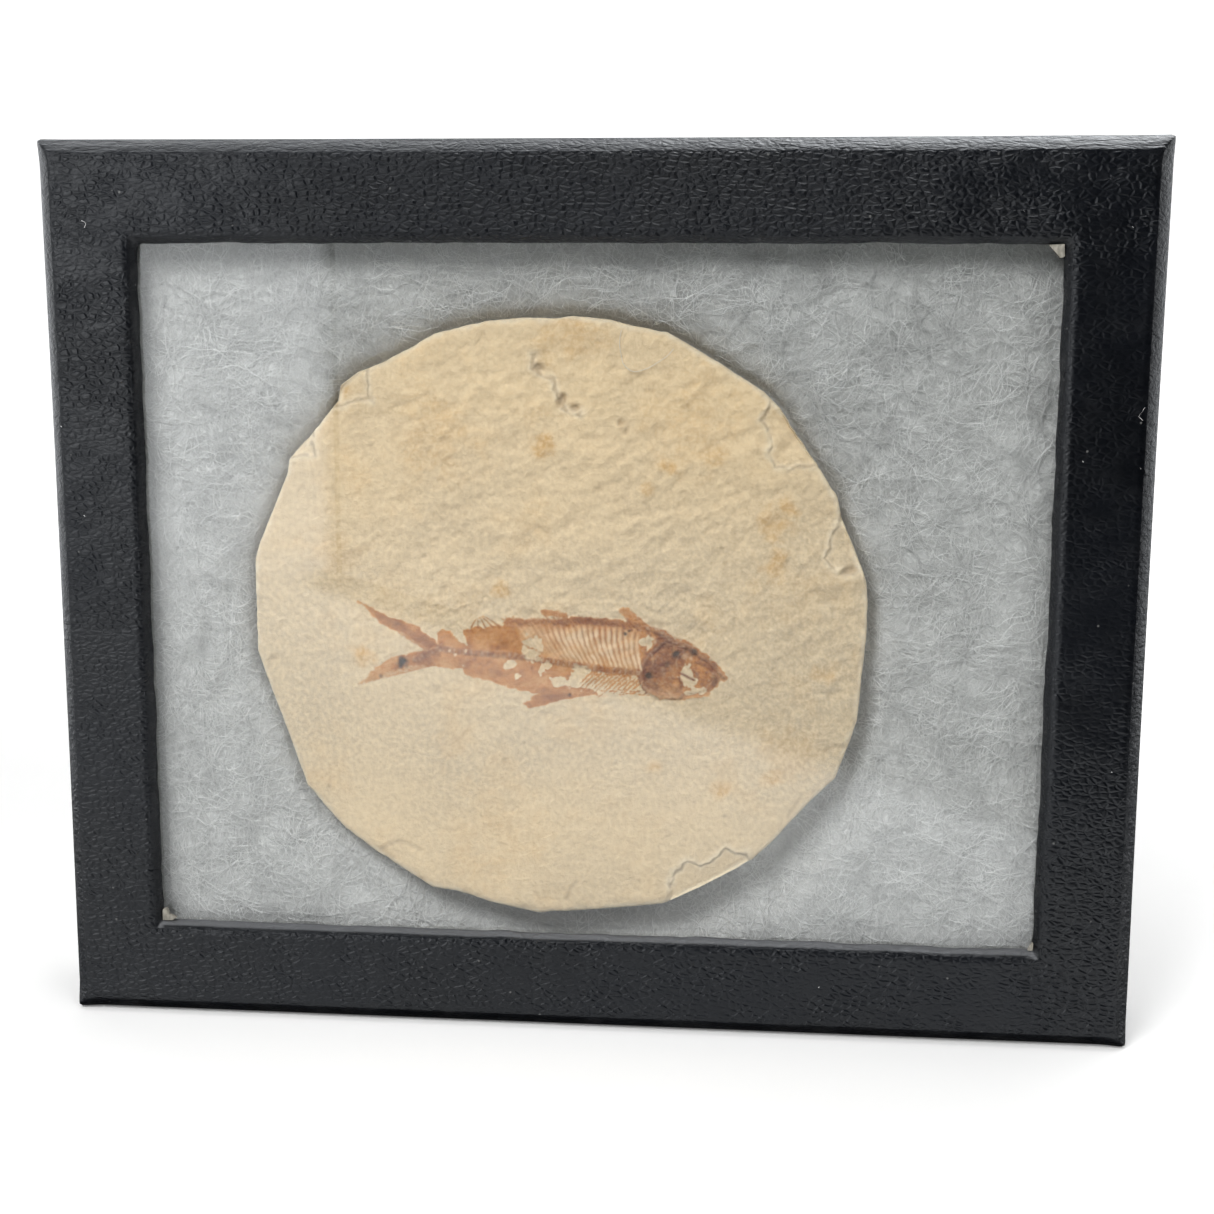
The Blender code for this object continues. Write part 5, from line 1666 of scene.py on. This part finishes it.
class FOSSIL_OT_stray_fibre(bpy.types.Operator):
    """Lay the one loose fibre that rests on the slab"""

    bl_idname = "fossil.stray_fibre"
    bl_label = "Stray fibre"

    def execute(self, context):
        places = resampled(FIBRE_ON_FACE, 40)
        for _ in range(4):
            places[:, 1:-1] = (places[:, :-2] + places[:, 1:-1] * 2 + places[:, 2:]) / 4
        x, z = places
        depth = SLAB_FACE_MM - FIBRE_CLEAR_MM - stone_height(x, z)
        material = fibre_material(context.scene.fossil_batting)
        lay_strands("stray_fibre", np.stack([x, depth, z], axis=1)[None], FIBRE_ON_FACE_MM, material)
        return {"FINISHED"}


class FOSSIL_OT_lint(bpy.types.Operator):
    """Drop a little lint and dust on the lid"""

    bl_idname = "fossil.lint"
    bl_label = "Lint"

    def execute(self, context):
        x, z = np.stack([resampled(path, 12) for path in LINT], axis=1)
        paths = np.stack([x, np.full(x.shape, FRONT / MM + 0.06), z], axis=2)
        lay_strands("lint_on_lid", paths, LINT_RADIUS_MM, fibre_material(context.scene.fossil_batting))
        return {"FINISHED"}


def area_light(name, place, target, width, height, power):
    """A soft light that only lights: neither the camera nor the gloss shows it."""
    data = bpy.data.lights.new(name, "AREA")
    data.shape = "RECTANGLE"
    data.size, data.size_y = width, height
    data.energy = power
    light = bpy.data.objects.new(name, data)
    bpy.context.scene.collection.objects.link(light)
    light.location = place
    light.rotation_euler = (Vector(target) - Vector(place)).to_track_quat("-Z", "Y").to_euler()
    light.visible_camera = False
    light.visible_transmission = False
    light.visible_glossy = False


def stage_material(name, colour):
    """Matt white paper with a faint unevenness and a painted glow: faint on the floor, where it lightens the
    case's shadows, full where the paper rises behind the case, and stronger on the floor to the right of the
    case.
    """
    material, tree, shader = new_material(name)
    place = object_place(tree)
    uneven = ranged(tree, noise_of(tree, place, 9.0, 3.0), 0.3, 0.7)
    dress(tree, shader, blend_colours(tree, uneven, scaled(colour, 0.985), colour), 0.9, specular=0.1)
    parts = add_node(tree, "ShaderNodeSeparateXYZ", {"Vector": place})
    rise = ranged(tree, parts.outputs["Y"], 0.05, 0.45, 0.16, 1.0)
    # Painted light: extra glow on the floor to the right of the case paints out the shadow that the key light
    # casts there
    glow = sums(tree, "ADD", rise, ranged(tree, parts.outputs["X"], 0.05, 0.1, 0.0, 0.3))
    light = blend_colours(tree, glow, (0.0, 0.0, 0.0), (0.75, 0.75, 0.75))
    feed(tree, shader.inputs["Emission Color"], light)
    shader.inputs["Emission Strength"].default_value = 1.0
    return emission_unsampled(material)


def mirrored_card(name, outline, material):
    """A flat card that only the gloss of the glass and the covering can show."""
    mesh = bpy.data.meshes.new(name)
    mesh.from_pydata(outline, [], [list(range(len(outline)))])
    mesh.materials.append(material)
    card = bpy.data.objects.new(name, mesh)
    bpy.context.scene.collection.objects.link(card)
    card.visible_camera = False
    card.visible_diffuse = False
    card.visible_transmission = False
    card.visible_shadow = False


def glow_material(name, strength, ramp, slanted):
    """Plain light whose strength changes along X between two stops, soft along the paper's slanted edge."""
    material = bpy.data.materials.new(name)
    material.use_nodes = True
    tree = material.node_tree
    tree.nodes.clear()
    parts = add_node(tree, "ShaderNodeSeparateXYZ", {"Vector": object_place(tree)})
    low, high, at_low, at_high = ramp
    share = ranged(tree, parts.outputs["X"], low, high, at_low * strength, at_high * strength)
    if slanted:
        along_x, along_y, outside, inside, near_case, dimmer = PAPER_EDGE
        past = sums(tree, "MULTIPLY", parts.outputs["Y"], along_y)
        past = sums(tree, "MULTIPLY_ADD", parts.outputs["X"], along_x, past)
        kept = ranged(tree, parts.outputs["X"], *PAPER_EDGE_KEPT)
        share = sums(tree, "MULTIPLY", share, ranged(tree, past, outside, inside, kept, 1.0))
        share = sums(tree, "MULTIPLY", share, ranged(tree, past, inside, near_case, 1.0, dimmer))
    light = add_node(tree, "ShaderNodeEmission", {"Strength": share, "Color": (0.94, 0.97, 1.0, 1.0)})
    output = add_node(tree, "ShaderNodeOutputMaterial")
    tree.links.new(light.outputs["Emission"], output.inputs["Surface"])
    return emission_unsampled(material)


def sky_nodes(strength):
    """Soft light all round, brighter from above and dim straight in front of the window."""
    world = bpy.data.worlds.new("studio")
    bpy.context.scene.world = world
    world.use_nodes = True
    tree = world.node_tree
    way = add_node(tree, "ShaderNodeTexCoord").outputs["Generated"]
    parts = add_node(tree, "ShaderNodeSeparateXYZ", {"Vector": way})
    upward = ranged(tree, parts.outputs["Z"], 0.0, 0.7, 0.0, 1.3)
    behind = ranged(tree, parts.outputs["Y"], -0.5, 0.3, 0.2, 1.6)
    total = sums(tree, "MULTIPLY", sums(tree, "ADD", upward, behind), strength)
    tree.links.new(total, tree.nodes["Background"].inputs["Strength"])


class FOSSIL_OT_stage(bpy.types.Operator):
    """Set the white sweep, the lights and the camera"""

    bl_idname = "fossil.stage"
    bl_label = "Stage"

    def execute(self, context):
        settings = context.scene.fossil_stage
        deselect_all()
        bpy.ops.mesh.primitive_plane_add(size=1.0, location=SWEEP_PLACE)
        sweep = context.object
        sweep.name = "white_sweep"
        sweep.scale = SWEEP_SIZE
        bpy.ops.object.transform_apply(location=True, rotation=True, scale=True)
        edit_mesh(sweep)
        far_edge = SWEEP_PLACE[1] + SWEEP_SIZE[1] / 2
        select_parts(sweep, "EDGE", lambda e: min(v.co.y for v in e.verts) > far_edge - SWEEP_ROUND / 3)
        for back, up in SWEEP_RISE:
            push_edges(back, up)
        select_parts(sweep, "EDGE", lambda e: len(e.link_faces) == 2)
        bpy.ops.mesh.bevel(offset=SWEEP_ROUND, segments=8)
        bpy.ops.object.mode_set(mode="OBJECT")
        sweep.data.materials.append(stage_material("white paper", (0.93, 0.93, 0.925)))
        bpy.ops.object.shade_smooth()
        sweep.visible_glossy = False
        for name, (glow, setting, ramp, outline) in CARDS.items():
            strength = getattr(settings, setting)
            mirrored_card(name, outline, glow_material(glow, strength, ramp, name == "near_paper"))
        sky_nodes(settings.sky)
        for name, place, target, width, height in LIGHTS:
            area_light(name, place, target, width, height, getattr(settings, name + "_power"))
        data = bpy.data.cameras.new("camera")
        data.lens = CAMERA_LENS_MM
        data.sensor_width = SENSOR_MM
        data.clip_start = 0.01
        camera = bpy.data.objects.new("camera", data)
        context.scene.collection.objects.link(camera)
        camera.location = CAMERA_PLACE
        camera.rotation_euler = [math.radians(turn) for turn in CAMERA_TURN]
        context.scene.camera = camera
        context.scene.view_settings.view_transform = "Standard"
        return {"FINISHED"}


OPERATORS = (
    FOSSIL_OT_lid, FOSSIL_OT_board_corners, FOSSIL_OT_glass, FOSSIL_OT_tray, FOSSIL_OT_batting,
    FOSSIL_OT_fibres, FOSSIL_OT_slab, FOSSIL_OT_stray_fibre, FOSSIL_OT_lint, FOSSIL_OT_stage,
)


class FOSSIL_PT_panel(bpy.types.Panel):
    """Lists the pieces of the fossil and its case"""

    bl_idname = "FOSSIL_PT_panel"
    bl_label = "Fossil fish in a case"
    bl_space_type = "VIEW_3D"
    bl_region_type = "UI"
    bl_category = "Fossil"

    def draw(self, context):
        for settings in SETTINGS:
            group = getattr(context.scene, settings)
            for key in group.bl_rna.properties.keys():
                if key not in ("rna_type", "name"):
                    self.layout.prop(group, key)
        for operator in OPERATORS:
            self.layout.operator(operator.bl_idname)


SETTINGS = {
    "fossil_case": CaseSettings, "fossil_batting": BattingSettings, "fossil_slab": SlabSettings,
    "fossil_stage": StageSettings,
}


def register():
    for group in SETTINGS.values():
        bpy.utils.register_class(group)
    for operator in OPERATORS:
        bpy.utils.register_class(operator)
    bpy.utils.register_class(FOSSIL_PT_panel)
    for name, group in SETTINGS.items():
        setattr(bpy.types.Scene, name, PointerProperty(type=group))


def unregister():
    for name in SETTINGS:
        delattr(bpy.types.Scene, name)
    bpy.utils.unregister_class(FOSSIL_PT_panel)
    for operator in reversed(OPERATORS):
        bpy.utils.unregister_class(operator)
    for group in reversed(SETTINGS.values()):
        bpy.utils.unregister_class(group)


def main():
    """Build every piece in order."""
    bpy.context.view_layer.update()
    register()
    for operator in OPERATORS:
        group, name = operator.bl_idname.split(".")
        getattr(getattr(bpy.ops, group), name)()


if __name__ == "__main__":
    main()
